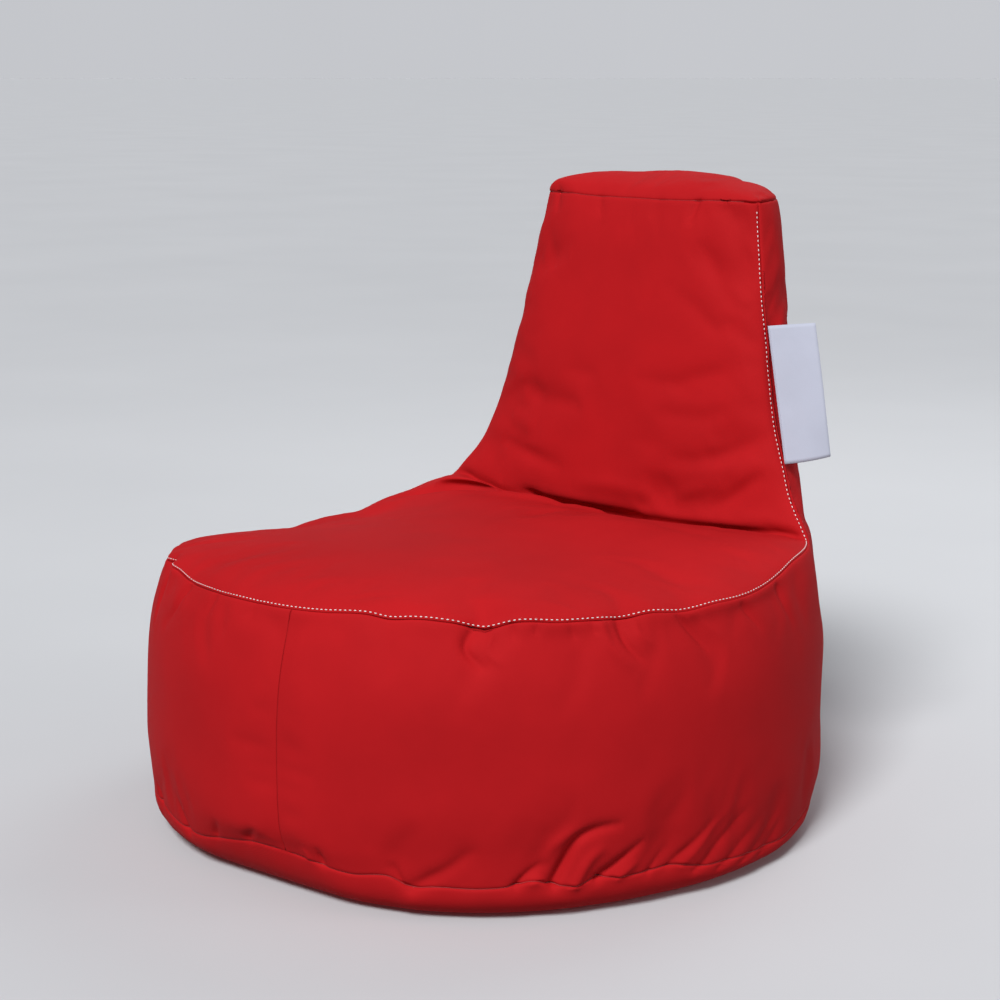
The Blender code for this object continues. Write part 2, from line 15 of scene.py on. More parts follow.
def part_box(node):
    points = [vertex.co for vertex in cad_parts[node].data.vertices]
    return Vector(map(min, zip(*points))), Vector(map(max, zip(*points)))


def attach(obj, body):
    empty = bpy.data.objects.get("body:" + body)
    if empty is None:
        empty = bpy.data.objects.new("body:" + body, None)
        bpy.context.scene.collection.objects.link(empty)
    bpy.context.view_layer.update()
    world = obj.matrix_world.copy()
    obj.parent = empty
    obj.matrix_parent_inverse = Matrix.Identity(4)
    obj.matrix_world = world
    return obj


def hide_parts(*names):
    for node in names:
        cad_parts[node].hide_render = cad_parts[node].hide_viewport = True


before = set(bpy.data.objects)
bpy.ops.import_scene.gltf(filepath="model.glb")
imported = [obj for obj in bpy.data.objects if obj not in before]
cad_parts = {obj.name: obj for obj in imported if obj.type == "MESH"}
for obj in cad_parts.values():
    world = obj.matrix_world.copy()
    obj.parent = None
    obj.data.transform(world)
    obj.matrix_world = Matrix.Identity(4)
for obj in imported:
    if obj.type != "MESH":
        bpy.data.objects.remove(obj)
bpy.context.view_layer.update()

# ---- The cover's driving dimensions, as in the CAD
FLOOR_R = 0.363
BASE_R, BASE_Z = 0.412, 0.042
LOW_R, LOW_Z = 0.418, 0.100
WALL_R, WALL_Z = 0.418, 0.150
HIGH_R, HIGH_Z = 0.411, 0.250
SEAT_R, SEAT_Z = 0.390, 0.330
SETTLE = 0.060
SEAT_CROWN = 0.045
CORNER_X, CORNER_Y, CORNER_Z = 0.314, 0.250, 0.345
CREASE_Y, CREASE_DIP = 0.225, 0.012
BACK_STATIONS = (0.345, 0.400, 0.460, 0.530, 0.620, 0.744)
BACK_HALF_WIDTHS = (0.314, 0.268, 0.240, 0.220, 0.199, 0.172)
BACK_LEAN = 0.132
BACK_BULGE = 0.045
BULGE_STATIONS = (0.345, 0.400, 0.500, 0.744)
BULGE_SHARES = (0.55, 0.75, 0.90, 0.75)
REAR_STATIONS = (0.345, 0.450, 0.600, 0.744)
REAR_SQUARENESS = (1.70, 1.78, 2.05, 2.10)
REAR_TOP_Y = 0.436
TOP_Z = BACK_STATIONS[-1]
DOME = 0.023
CORNER_ANGLE = math.atan2(CORNER_X, CORNER_Y)
CORNER_R = math.hypot(CORNER_X, CORNER_Y)
REAR_SLOPE = (REAR_TOP_Y - WALL_R) / (TOP_Z - WALL_Z)

# Quads of the simulated cover
ACROSS = 70
FRONT_SEAM_COLUMN = 10
SEAT_FRONT_ROWS = 36
SEAT_REAR_ROWS = 24
BACK_ROWS = 40
WALL_ROWS = 28
CAP_ROWS = 18
BASE_LEVELS = (0.0, 0.12, 0.25, 0.38, 0.5, 0.62, 0.74, 0.86, 1.0, 1.12, 1.25, 1.4, 1.55, 1.7, 1.85, 2.0)


# ---- Curves
def smooth(lo, hi, x):
    t = np.clip((x - lo) / (hi - lo), 0.0, 1.0)
    return t * t * (3.0 - 2.0 * t)


def through(x, stations, values):
    """Smooth curve through the values at the stations."""
    s = np.asarray(stations, float)
    v = np.asarray(values, float)
    step = np.diff(s)
    rate = np.diff(v) / step
    slope = np.concatenate(([rate[0]], rate[:-1], [rate[-1]]))
    slope[1:-1] = (rate[:-1] * step[1:] + rate[1:] * step[:-1]) / (step[1:] + step[:-1])
    x = np.clip(x, s[0], s[-1])
    i = np.clip(np.searchsorted(s, x, side="right") - 1, 0, len(step) - 1)
    t = (x - s[i]) / step[i]
    ends = (1 + 2 * t) * (1 - t) ** 2 * v[i] + t * t * (3 - 2 * t) * v[i + 1]
    return ends + step[i] * (t * (1 - t) ** 2 * slope[i] + t * t * (t - 1) * slope[i + 1])


def drum_radius(z):
    return through(z, (BASE_Z, LOW_Z, WALL_Z, HIGH_Z, SEAT_Z), (BASE_R, LOW_R, WALL_R, HIGH_R, SEAT_R))


def rear_line(z):
    low = through(z, (BASE_Z, LOW_Z, WALL_Z), (BASE_R, LOW_R, WALL_R))
    return np.where(z < WALL_Z, low, WALL_R + REAR_SLOPE * (z - WALL_Z))


def seam_radius(angle):
    return SEAT_R + (CORNER_R - SEAT_R) * smooth(math.radians(75), CORNER_ANGLE, np.abs(angle))


def seam_height(angle):
    climb = smooth(math.radians(100), CORNER_ANGLE, np.abs(angle))
    side = smooth(-0.3, 0.9, -np.sin(angle)) * smooth(-1.0, 0.1, np.cos(angle))
    settled = SETTLE * side * (1.0 - smooth(0.25, 0.58, np.cos(angle)))
    return SEAT_Z + (CORNER_Z - SEAT_Z) * climb - settled


def back_half_width(z):
    return through(z, BACK_STATIONS, BACK_HALF_WIDTHS)


def back_seam_y(z):
    return CORNER_Y + BACK_LEAN * (z - CORNER_Z)


# ---- Surfaces, on arrays of parameters
def wall_front(angle, s):
    """Drum wall between the back's corners, s from the base seam (0) to the seat seam (1)."""
    z = BASE_Z + (seam_height(angle) - BASE_Z) * s
    r = drum_radius(BASE_Z + (SEAT_Z - BASE_Z) * s) + (seam_radius(angle) - SEAT_R) * s
    return np.stack((r * np.sin(angle), r * np.cos(angle), z), axis=-1)


def wall_rear(a, z):
    """Rear wall from the base seam up to the cap seam, a from -1 to 1 between the corners."""
    share = np.clip((z - BASE_Z) / (CORNER_Z - BASE_Z), 0.0, 1.0)
    r = drum_radius(BASE_Z + (SEAT_Z - BASE_Z) * share) + (CORNER_R - SEAT_R) * share
    above = z >= CORNER_Z
    edge_x = np.where(above, back_half_width(z), r * math.sin(CORNER_ANGLE))
    edge_y = np.where(above, back_seam_y(z), r * math.cos(CORNER_ANGLE))
    depth = rear_line(z) - edge_y
    turn = a * CORNER_ANGLE
    arc_x = np.sin(turn) / math.sin(CORNER_ANGLE)
    arc_y = (np.cos(turn) - math.cos(CORNER_ANGLE)) / (1 - math.cos(CORNER_ANGLE))
    power = 2.0 / through(z, REAR_STATIONS, REAR_SQUARENESS)
    back_x = np.sign(a) * np.abs(np.sin(a * math.pi / 2)) ** power
    back_y = np.abs(np.cos(a * math.pi / 2)) ** power
    blend = smooth(0.30, 0.47, z)
    x = edge_x * (arc_x + (back_x - arc_x) * blend)
    return np.stack((x, edge_y + depth * (arc_y + (back_y - arc_y) * blend), z), axis=-1)


def seat_height(x, y, angle, r):
    """Crowned seat over the point x, y, whose seam points lie at plus and minus the angle."""
    u = np.clip(x / np.maximum(r * np.sin(angle), 1e-6), -1.0, 1.0)
    rim = seam_height(angle) * (1 + u) / 2 + seam_height(-angle) * (1 - u) / 2
    rho = np.clip((x * x + y * y) / (r * r), 0.0, 1.0)
    crown = SEAT_CROWN * (1 - rho) ** 0.55 * (1 - smooth(0.10, 0.26, y))
    return rim + crown - CREASE_DIP * smooth(0.10, 0.25, y) * (1 - u * u)


def seat_front(p, q):
    x = SEAT_R * p * np.sqrt(1 - q * q / 2)
    y = SEAT_R * q * np.sqrt(1 - p * p / 2)
    angle = np.arccos(np.clip(y / SEAT_R, -1.0, 1.0))
    return np.stack((x, y, seat_height(x, y, angle, seam_radius(angle))), axis=-1)


def seat_rear(u, t):
    angle = math.pi / 2 + (CORNER_ANGLE - math.pi / 2) * t
    r = seam_radius(angle)
    x = u * r * np.sin(angle)
    y = r * np.cos(angle)
    z = seat_height(x, y, angle, r)
    return np.stack((x, y + (CREASE_Y - CORNER_Y) * (1 - u * u) * smooth(0.0, 1.0, t), z), axis=-1)


def back_front(u, z):
    bulge = BACK_BULGE * through(z, BULGE_STATIONS, BULGE_SHARES)
    y = back_seam_y(z) - bulge * (1 - np.abs(u) ** 2.6) ** (1 / 1.8)
    dip = CREASE_DIP * (1 - u * u) * (1 - smooth(CORNER_Z, 0.40, z))
    return np.stack((u * back_half_width(z), y, z - dip), axis=-1)


def cap(u, t):
    level = np.full_like(u, TOP_Z)
    front = back_front(u, level)
    point = front + (wall_rear(u, level) - front) * t[..., None]
    point[..., 2] += DOME * (1 - np.abs(u) ** 3) ** 0.6 * np.clip(4 * t * (1 - t), 0.0, 1.0) ** 0.6
    return point


def base(angle, level):
    turn = np.clip(level - 1, 0.0, 1.0) * math.pi / 2
    r = np.where(level <= 1, FLOOR_R * level, FLOOR_R + (BASE_R - FLOOR_R) * np.sin(turn))
    return np.stack((r * np.sin(angle), r * np.cos(angle), BASE_Z * (1 - np.cos(turn))), axis=-1)


def rows_of(surface, across, along):
    """Grid of points: one row for each value of along."""
    v, u = np.meshgrid(np.asarray(along, float), np.asarray(across, float), indexing="ij")
    return surface(u, v)


def seam_angles():
    """Angles of the wall's columns from the front middle round to the right corner."""
    arc = [math.pi - math.asin(p / math.sqrt(2)) for p in np.linspace(0.0, 1.0, ACROSS // 2 + 1)]
    for q in np.linspace(-1.0, 0.0, SEAT_FRONT_ROWS + 1)[1:]:
        arc.append(math.atan2(math.sqrt(1 - q * q / 2), q * math.sqrt(0.5)))
    return arc + list(np.linspace(math.pi / 2, CORNER_ANGLE, SEAT_REAR_ROWS + 1)[1:])


def front_panel_rows():
    """Seat and back front in one grid. The crease between them is one shared row."""
    across = np.linspace(-1.0, 1.0, ACROSS + 1)
    seat = rows_of(seat_front, across, np.linspace(-1.0, 0.0, SEAT_FRONT_ROWS + 1))
    rear = rows_of(seat_rear, across, np.linspace(0.0, 1.0, SEAT_REAR_ROWS + 1))[1:]
    back = rows_of(back_front, across, np.linspace(CORNER_Z, TOP_Z, BACK_ROWS + 1))
    rear[-1, :, 2] = back[0, :, 2]
    return np.concatenate((seat, rear, back[1:]))


def drum_columns(side):
    """Angles of one side's columns, from the front seam round to that side's corner."""
    arc = seam_angles()
    if side > 0:
        return arc[FRONT_SEAM_COLUMN:]
    return arc[FRONT_SEAM_COLUMN:0:-1] + [-angle for angle in arc]


def side_panel_rows(side):
    """Two grids of one side's wall. side is 1 (+X) or -1."""
    levels = np.linspace(0.0, 1.0, WALL_ROWS + 1)
    heights = np.concatenate((BASE_Z + (CORNER_Z - BASE_Z) * levels,
                              np.linspace(CORNER_Z, TOP_Z, BACK_ROWS + 1)[1:]))
    drum = rows_of(wall_front, drum_columns(side), levels)
    rear = rows_of(wall_rear, side * np.linspace(1.0, 0.0, ACROSS // 2 + 1), heights)
    return drum, rear


def cap_rows():
    return rows_of(cap, np.linspace(-1.0, 1.0, ACROSS + 1), np.linspace(0.0, 1.0, CAP_ROWS + 1))


def base_rows():
    half = seam_angles() + [a * CORNER_ANGLE for a in np.linspace(1.0, 0.0, ACROSS // 2 + 1)[1:]]
    return rows_of(base, half + [-angle for angle in reversed(half[:-1])], BASE_LEVELS)


# ---- The closed cover
PANELS = ("seat_back", "side_right", "side_left", "top_cap", "base")


def closed_cover():
    """bmesh of the whole cover, sewn along its seams, with each face's panel number."""
    grids = [(0, front_panel_rows()), (3, cap_rows()), (4, base_rows())]
    grids += [(1, rows) for rows in side_panel_rows(1)] + [(2, rows) for rows in side_panel_rows(-1)]
    bm = bmesh.new()
    panel = bm.faces.layers.int.new("panel")
    for number, rows in grids:
        verts = [[bm.verts.new(point) for point in row] for row in rows]
        for low, high in zip(verts[:-1], verts[1:]):
            for i in range(len(low) - 1):
                bm.faces.new((low[i], low[i + 1], high[i + 1], high[i]))[panel] = number
    bmesh.ops.remove_doubles(bm, verts=bm.verts, dist=2e-5)
    bmesh.ops.dissolve_degenerate(bm, dist=1e-6, edges=bm.edges)
    bmesh.ops.recalc_face_normals(bm, faces=bm.faces)
    bm.normal_update()
    return bm


def link(obj):
    bpy.context.scene.collection.objects.link(obj)
    return obj


def lofted(rings, closed=False, around=True):
    """Points and quads over rings of points. Rings that close round an open row are capped."""
    count = len(rings[0])
    points = [point for ring in rings for point in ring]
    faces = []
    for i in range(len(rings) if closed else len(rings) - 1):
        a, b = i * count, (i + 1) % len(rings) * count
        for k in range(count if around else count - 1):
            j = (k + 1) % count
            faces.append((a + k, a + j, b + j, b + k))
    if around and not closed:
        faces.append(tuple(range(count))[::-1])
        faces.append(tuple(range(len(points) - count, len(points))))
    return points, faces


def mesh_piece(name, points, faces, look):
    mesh = bpy.data.meshes.new(name)
    mesh.from_pydata(points, [], faces)
    mesh.shade_smooth()
    mesh.materials.append(look)
    return link(bpy.data.objects.new(name, mesh))


def thickened(obj, thick, offset=-1.0):
    cloth = obj.modifiers.new("Cloth thickness", "SOLIDIFY")
    cloth.thickness = thick
    cloth.offset = offset
    return obj


def seam_weights(bm):
    """1 on every seam, falling to 0 two rings away."""
    layer = bm.faces.layers.int["panel"]
    weight = {}
    ring = {v for v in bm.verts if len({f[layer] for f in v.link_faces}) > 1}
    for value in (1.0, 0.55, 0.2):
        for vert in ring:
            weight.setdefault(vert.index, value)
        ring = {e.other_vert(v) for v in ring for e in v.link_edges}
    return weight


def coordinates(mesh):
    co = np.empty(len(mesh.vertices) * 3, np.float32)
    mesh.vertices.foreach_get("co", co)
    return co.reshape(-1, 3).astype(float)


def simulate(mesh, weight):
    """Blow the cover up with its seams held short. Returns the simulated points."""
    obj = link(bpy.data.objects.new("cover_cloth_run", mesh.copy()))
    shrink = obj.vertex_groups.new(name="seams")
    for index, value in weight.items():
        shrink.add([index], value, "REPLACE")
    pinned = [v.index for v in obj.data.vertices if v.co.z < 0.002]
    pin = obj.vertex_groups.new(name="pin")
    pin.add(pinned, 1.0, "REPLACE")
    modifier = obj.modifiers.new("Cloth", "CLOTH")
    cloth = modifier.settings
    for key, value in CLOTH_RUN.items():
        setattr(cloth, key, value)
    cloth.effector_weights.gravity = 0.0
    modifier.collision_settings.use_collision = False
    modifier.point_cache.frame_start, modifier.point_cache.frame_end = 1, SIM_FRAMES
    scene = bpy.context.scene
    for number in range(1, SIM_FRAMES + 1):
        scene.frame_set(number)
    evaluated = obj.evaluated_get(bpy.context.evaluated_depsgraph_get())
    moved = coordinates(evaluated.data)
    run = obj.data
    bpy.data.objects.remove(obj)
    bpy.data.meshes.remove(run)
    scene.frame_set(1)
    return moved


def blurred(values, pairs, count, rounds):
    """Values averaged over the mesh's neighbours, that many rounds."""
    degree = np.bincount(pairs.ravel(), minlength=count)[:, None]
    for _ in range(rounds):
        total = np.zeros_like(values)
        for axis in range(values.shape[1]):
            total[:, axis] = (np.bincount(pairs[:, 0], values[pairs[:, 1], axis], count)
                              + np.bincount(pairs[:, 1], values[pairs[:, 0], axis], count))
        values = 0.5 * values + 0.5 * total / degree
    return values


SIM_FRAMES = 20
CLOTH_RUN = {
    "quality": 6, "mass": 0.25, "tension_stiffness": 25, "compression_stiffness": 25, "shear_stiffness": 8,
    "bending_stiffness": 0.35, "tension_damping": 8, "compression_damping": 8, "air_damping": 2.0,
    "use_pressure": True, "uniform_pressure_force": 3.5, "vertex_group_mass": "pin",
    "vertex_group_shrink": "seams", "shrink_min": -0.035, "shrink_max": 0.010,
}

# ---- Creases, gathers and wavering seams
# The places are in millimetres, as in the tables below
def on_wall(degrees, height):
    """Point of the drum's wall at that angle and height."""
    angle = np.float64(math.radians(degrees))
    return wall_front(angle, (height / 1000 - BASE_Z) / (seam_height(angle) - BASE_Z))


def on_back(x, height):
    x, z = x / 1000, height / 1000
    return back_front(np.float64(x / back_half_width(z)), np.float64(z))


def on_seat(x, y):
    x, y = x / 1000, y / 1000
    angle = np.arccos(np.clip(y / SEAT_R, -1.0, 1.0))
    return np.array((x, y, float(seat_height(np.float64(x), np.float64(y), angle, seam_radius(angle)))))


def resampled(points, step):
    """Points at an even step along a polyline."""
    points = np.asarray(points, float)
    length = np.concatenate(([0.0], np.cumsum(np.linalg.norm(np.diff(points, axis=0), axis=1))))
    at = np.arange(0.0, length[-1], step)
    return np.stack([np.interp(at, length, points[:, k]) for k in range(points.shape[1])], axis=1)


def bowed(points):
    """Smooth curve through two or more points, as a fine polyline."""
    points = np.asarray(points, float)
    at = np.linspace(0.0, len(points) - 1.0, 40)
    stations = np.arange(len(points), dtype=float)
    if len(points) == 2:
        return np.stack([np.interp(at, stations, points[:, k]) for k in range(3)], axis=1)
    return np.stack([through(at, stations, points[:, k]) for k in range(3)], axis=1)


def crease_depth(co, points, width, depth, from_seam):
    """How far each point sinks into one crease. A crease from a seam is deepest at the seam."""
    path = resampled(bowed(points), 0.003)
    reach = 3.0 * width
    near = np.all((co > path.min(0) - reach) & (co < path.max(0) + reach), axis=1)
    found = np.zeros(len(co))
    if not near.any():
        return found
    away = np.linalg.norm(co[near][:, None] - path[None], axis=2)
    nearest = away.argmin(1)
    t = nearest / (len(path) - 1)
    fade = np.cos(t * math.pi / 2) ** 0.8 if from_seam else np.sin(np.clip(t, 0.02, 0.98) * math.pi) ** 0.7
    found[near] = depth * fade * np.exp(-(away.min(1) / width) ** 2)
    return found


def all_creases():
    """Every crease as (points, width, depth, from_seam), in metres. A negative depth is a ridge."""
    made = []
    for surface, table in ((on_wall, WALL_CREASES), (on_back, BACK_CREASES), (on_seat, SEAT_CREASES)):
        for width, depth, from_seam, *at in table:
            points = [surface(*place) for place in zip(at[::2], at[1::2])]
            made.append((points, width / 1000, depth / 1000, from_seam))
    hollow = [np.add(label_seam_point(share), LABEL_HOLLOW) for share in (-0.3, 0.5, 1.3)]
    made.append((hollow, 0.015, 0.011, False))
    fold = [on_seat(*place) for place in FOLD_LEFT]
    fold += [back_front(np.float64(u), np.float64(CORNER_Z)) for u in np.linspace(-0.38, 0.93, 12)]
    made.append((fold, FOLD_WIDTH, FOLD_DEPTH, False))
    return made


def shaped(co, normals):
    """The cover's points with its creases, its wavering seams and its settled bottom."""
    sunk = sum(crease_depth(co, *crease) for crease in all_creases())
    moved = co - normals * sunk[:, None]
    foot = [on_seat(*place) for place in FOOT]
    lean = crease_depth(co, foot, FOOT_WIDTH, 1.0, False) * smooth(0.0, 0.011, -sunk)
    moved += lean[:, None] * np.array(FOOT_PUSH)
    angle = np.arctan2(co[:, 0], co[:, 1])
    degrees = np.degrees(angle) % 360
    radius = np.hypot(co[:, 0], co[:, 1])
    out = co[:, :2] / np.maximum(radius, 1e-6)[:, None]
    round_drum = np.abs(angle) > CORNER_ANGLE
    seat_away = np.hypot(radius - seam_radius(angle), co[:, 2] - seam_height(angle))
    by_seat = np.exp(-(seat_away / WAVER_REACH) ** 2) * round_drum
    moved[:, 2] += by_seat * waver(degrees, SEAT_WAVER)
    moved[:, :2] += out * (np.exp(-(seat_away / TUCK_REACH) ** 2) * waver(degrees, SEAT_TUCKS))[:, None]
    base_away = np.hypot(radius - BASE_R, co[:, 2] - BASE_Z)
    moved[:, 2] += np.exp(-(base_away / WAVER_REACH) ** 2) * waver(degrees, BASE_WAVER)
    low = (1.0 - smooth(0.0, 0.085, co[:, 2])) * smooth(0.10, 0.35, radius)
    moved[:, :2] += out * (low * waver(degrees, BOTTOM_SPREAD))[:, None]
    middle = smooth(0.06, 0.13, co[:, 2]) * (1.0 - smooth(0.26, 0.34, co[:, 2]))
    middle *= smooth(0.30, 0.36, radius)
    moved[:, :2] += out * (middle * waver(degrees, WALL_SPREAD))[:, None]
    for side, low, high, shift in BACK_SHIFTS:
        share = smooth(low, high, co[:, 2]) * smooth(0.04, 0.15, side * co[:, 0])
        moved[:, :2] += share[:, None] * np.array(shift)
    tilt = CAP_RISE[0] - CAP_RISE[1] * smooth(0.05, 0.17, co[:, 0])
    moved[:, 2] += tilt * smooth(TOP_Z - 0.002, TOP_Z + 0.012, co[:, 2])
    moved[:, 2] = np.where(co[:, 2] < 1e-4, 0.0, np.maximum(moved[:, 2], 0.0003))
    return moved


def waver(degrees, stations):
    """Millimetres at each angle (0 to 360 from the rear), as metres."""
    return through(degrees, stations[::2], stations[1::2]) / 1000


# Width, depth, whether the crease starts at a seam, then its places in pairs. All lengths are in mm.
# On the wall a pair is (degrees, height), on the back (x, height), on the seat (x, y).
WALL_CREASES = (
    (5, 8.1, True, 137, 326, 138, 302, 134.5, 277),
    (5, -4.1, True, 134, 322, 134.5, 300, 132, 283),
    (5, 6.8, True, 113.5, 326, 112.5, 300, 109.5, 274),
    (7, -4.1, True, 116.5, 322, 115.5, 298, 112, 270),
    (5, -2.7, True, 110.5, 324, 110, 306, 107, 290),
    (4.5, 3.4, True, 131, 326, 130.5, 305),
    (4.5, 2.7, True, 127, 326, 127.5, 308),
    (4.5, 3.4, True, 121.5, 326, 121, 304),
    (4, 2.7, True, 118, 326, 117.5, 310),
    (5, 5.4, True, 102.5, 324, 100, 300, 97.5, 276),
    (6, -2.7, True, 99.5, 324, 97, 304, 94, 286),
    (5, 4.1, True, 88, 322, 86, 300, 84, 282),
    (7, 4.1, True, 76, 324, 75, 298, 73, 270),
    (5, 3.4, True, 176, 326, 177, 308),
    (6, 4.1, True, 187, 324, 188, 296),
    (6, 5.4, True, 197, 322, 199, 290, 203, 262),
    (7, 5.4, True, 209, 318, 210, 280, 209, 250),
    (7, 5.4, True, 222, 310, 221, 270),
    (7.5, 5.4, True, 240, 300, 238, 262),
    (7.5, 5.4, True, 258, 286, 260, 250),
    (7.5, 5.4, True, 276, 284, 275, 246),
    (5, 5.4, True, 130.5, 43, 128, 56, 125.5, 72),
    (5, -4.1, True, 128, 40, 126, 50),
    (6, 9.5, True, 125, 44, 123.2, 70, 121.5, 92, 118.5, 103, 113.5, 107),
    (7.5, -5.4, True, 121.5, 45, 119.5, 68, 116.5, 85),
    (7, -3.4, False, 126.5, 60, 125, 85, 121.5, 108),
    (5, 6.8, True, 118, 42, 114.5, 62, 110, 86),
    (5, -3.4, True, 114.5, 44, 111, 62),
    (4.5, 2.9, True, 109.5, 42, 107.5, 58, 105.5, 74),
    (4.5, 2.9, True, 106, 42, 102, 66, 97, 92),
    (4.5, -1.7, True, 103.5, 42, 99, 72, 93, 104),
    (4.5, 2.9, True, 101, 36, 95, 68, 88, 96),
    (4.5, 2.5, True, 96, 34, 90, 60, 84, 84),
    (4.5, 2.5, True, 91, 32, 85, 56, 79, 78),
    (5, 2.5, True, 86, 32, 78, 70),
    (4.5, 4.1, True, 148, 46, 149.5, 64),
    (7.5, 4.1, True, 146.5, 42, 141, 62, 136, 90),
    (4.5, 4.7, True, 161, 46, 161.5, 70),
    (5, -2.7, True, 163.5, 46, 164, 62),
    (6, 4.1, True, 176, 50, 173, 78),
    (5, 3.4, True, 184, 48, 182, 72),
    (7, 4.1, True, 193, 42, 196, 80),
    (6, 4.1, True, 205, 42, 207, 70),
    (7, 4.7, True, 219, 42, 217, 82),
    (7, 4.1, True, 236, 42, 238, 74),
    (7, 4.7, True, 252, 42, 250, 84),
    (7, 4.1, True, 269, 42, 271, 76),
    (7, 4.7, True, 286, 42, 284, 82),
)
BACK_CREASES = (
    (13, 4, False, 135, 740, 166, 690, 186, 620),
    (13, 3, False, 112, 700, 134, 655, 165, 620, 192, 600),
    (14, 3.5, False, 85, 512, 135, 526, 190, 545),
    (12, 4, False, 95, 418, 150, 424, 200, 444, 232, 462),
    (11, 4.5, False, 165, 366, 200, 384, 235, 420),
    (12, -3, False, 110, 372, 150, 388, 190, 396),
    (12, 4, False, -205, 410, -140, 396, -70, 386),
    (14, -2.5, False, -190, 440, -120, 428),
    (14, 2.5, False, -165, 500, -120, 470),
    (12, -3, False, -60, 372, 20, 378, 95, 372),
    (14, 2.5, False, -148, 700, -120, 640),
    (7, 3, True, -140, 742, -128, 715),
    (7, 2.5, True, -60, 742, -52, 712),
    (7, 2, True, 40, 742, 34, 716),
    (6, 4, True, 98, 742, 92, 708),
)
SEAT_CREASES = (
    (12, -12, False, -285, 188, -250, 198, -215, 208, -180, 220),
    (13, -9, False, -185, 180, -130, 194, -60, 204, 30, 206),
    (13, -5, False, -30, 204, 90, 206, 180, 210, 265, 220),
    (28, -12, False, -366, -70, -368, 20, -350, 95, -316, 150),
    (16, 2.5, False, 275, 120, 200, 125, 130, 140),
    (12, 3, True, -215, -290, -180, -255, -140, -235),
    (12, -2, True, -235, -245, -190, -225),
    (10, 2, True, -115, -355, -100, -315),
    (10, 1.5, True, 60, -372, 58, -335),
    (9, 2.5, True, 268, -275, 240, -250),
    (9, 2, True, 345, -140, 305, -125),
)
FOLD_LEFT = ((-335, 150), (-278, 168), (-216, 184), (-168, 206))
FOLD_WIDTH, FOLD_DEPTH = 0.0075, 0.017
# The back's foot leans forward over the left end of the fold
FOOT = ((-300, 182), (-240, 200), (-180, 222), (-120, 238))
FOOT_WIDTH, FOOT_PUSH = 0.018, (0.005, -0.019, 0.000)
SEAT_WAVER = (
    0, 0, 56, 0, 66, 2, 74, -2, 88, -3, 94, 0, 102, -2, 108, 1, 112, -3, 116, -1, 124, 0, 130, 1,
    136, -5, 140, 1, 146, 3, 151, 1, 154, 5, 162, 3, 172, 1, 180, 0, 188, -2, 197, -3, 206, 2, 212, 0,
    222, 2, 240, -3, 258, 1, 270, 0, 278, 6, 286, 11, 293, 8, 300, -6, 307, -3, 312, 0, 360, 0,
)
SEAT_TUCKS = (
    0, 0, 60, 0, 108, 1, 112, -3, 115, 1, 133, 1, 136.5, -3, 139, 1, 148, 0, 152, -2, 155, 0, 180, 0,
    203, 0, 208, 3, 211, -7, 215, 3, 219, -2, 226, 0, 360, 0,
)
BASE_WAVER = (
    0, 0, 60, -6, 75, -14, 86, -14, 92, -11, 99, -8, 105, 1, 110, 0, 115, -1, 118, 2, 121, -4, 125, -2,
    128, 5, 130, 1, 136, -3, 143, -3, 147, -4, 149, 4, 156, 2, 164, 9, 169, 11, 174, 12, 180, 6,
    190, -6, 205, 0, 240, 3, 280, -2, 320, 2, 360, 0,
)
BOTTOM_SPREAD = (
    0, 0, 60, 2, 75, 6, 90, 6, 115, 6, 130, 10, 145, 9, 156, 2, 166, -9, 178, -12, 192, -1, 205, 7,
    220, 9, 240, 4, 270, 0, 360, 0,
)
WALL_SPREAD = (
    0, 0, 25, 0, 40, -5, 56, -6, 72, -4, 90, 0, 215, 0, 225, 1, 240, 0, 360, 0,
)
# Side, height where it starts and is full, and how far the back's edge stands off to x and y
BACK_SHIFTS = (
    (1, 0.36, 0.43, (0.0080, 0.0030)),
    (1, 0.56, 0.64, (-0.0025, -0.0010)),
    (-1, 0.56, 0.66, (-0.0035, -0.0025)),
)
WAVER_REACH = 0.026
CAP_RISE = (0.0035, 0.0070)
TUCK_REACH = 0.014


# ---- Puckered cover
def softly_capped(moves, most):
    """Moves shortened smoothly so that none is longer than most."""
    length = np.linalg.norm(moves, axis=1, keepdims=True)
    return moves * (most * np.tanh(length / most) / np.maximum(length, 1e-9))


def plan_position(co, panel):
    """Place of a point on its panel's flat cut, in metres, for the weave."""
    if panel == 0:
        return co.x, co.y + max(co.z - CORNER_Z, 0.0) * (1.0 if co.y > CREASE_Y - 0.1 else 0.0)
    if panel in (1, 2):
        return math.atan2(co.x, co.y) * WALL_R, co.z
    return co.x, co.y


def lay_out_weave(bm):
    uv = bm.loops.layers.uv.new("weave")
    panel = bm.faces.layers.int["panel"]
    for face in bm.faces:
        for loop in face.loops:
            loop[uv].uv = plan_position(loop.vert.co, face[panel])


def vertex_normals(mesh):
    normals = np.empty(len(mesh.vertices) * 3, np.float32)
    mesh.vertices.foreach_get("normal", normals)
    return normals.reshape(-1, 3).astype(float)


def set_coordinates(mesh, co):
    mesh.vertices.foreach_set("co", co.astype(np.float32).ravel())
    mesh.update()


def puckered_mesh():
    """The whole cover with the simulation's puckers on the designed shape."""
    bm = closed_cover()
    lay_out_weave(bm)
    bm.verts.index_update()
    weight = seam_weights(bm)
    mesh = bpy.data.meshes.new("cover")
    bm.to_mesh(mesh)
    bm.free()
    rest = coordinates(mesh)
    pairs = np.array([edge.vertices[:] for edge in mesh.edges])
    moves = simulate(mesh, weight) - rest
    low = blurred(moves, pairs, len(rest), BLUR_ROUNDS)
    fine = softly_capped(moves - low, PUCKER_MOST) * PUCKER_GAIN
    fine *= smooth(0.0, 0.05, rest[:, 2])[:, None]
    set_coordinates(mesh, rest + fine)
    return mesh


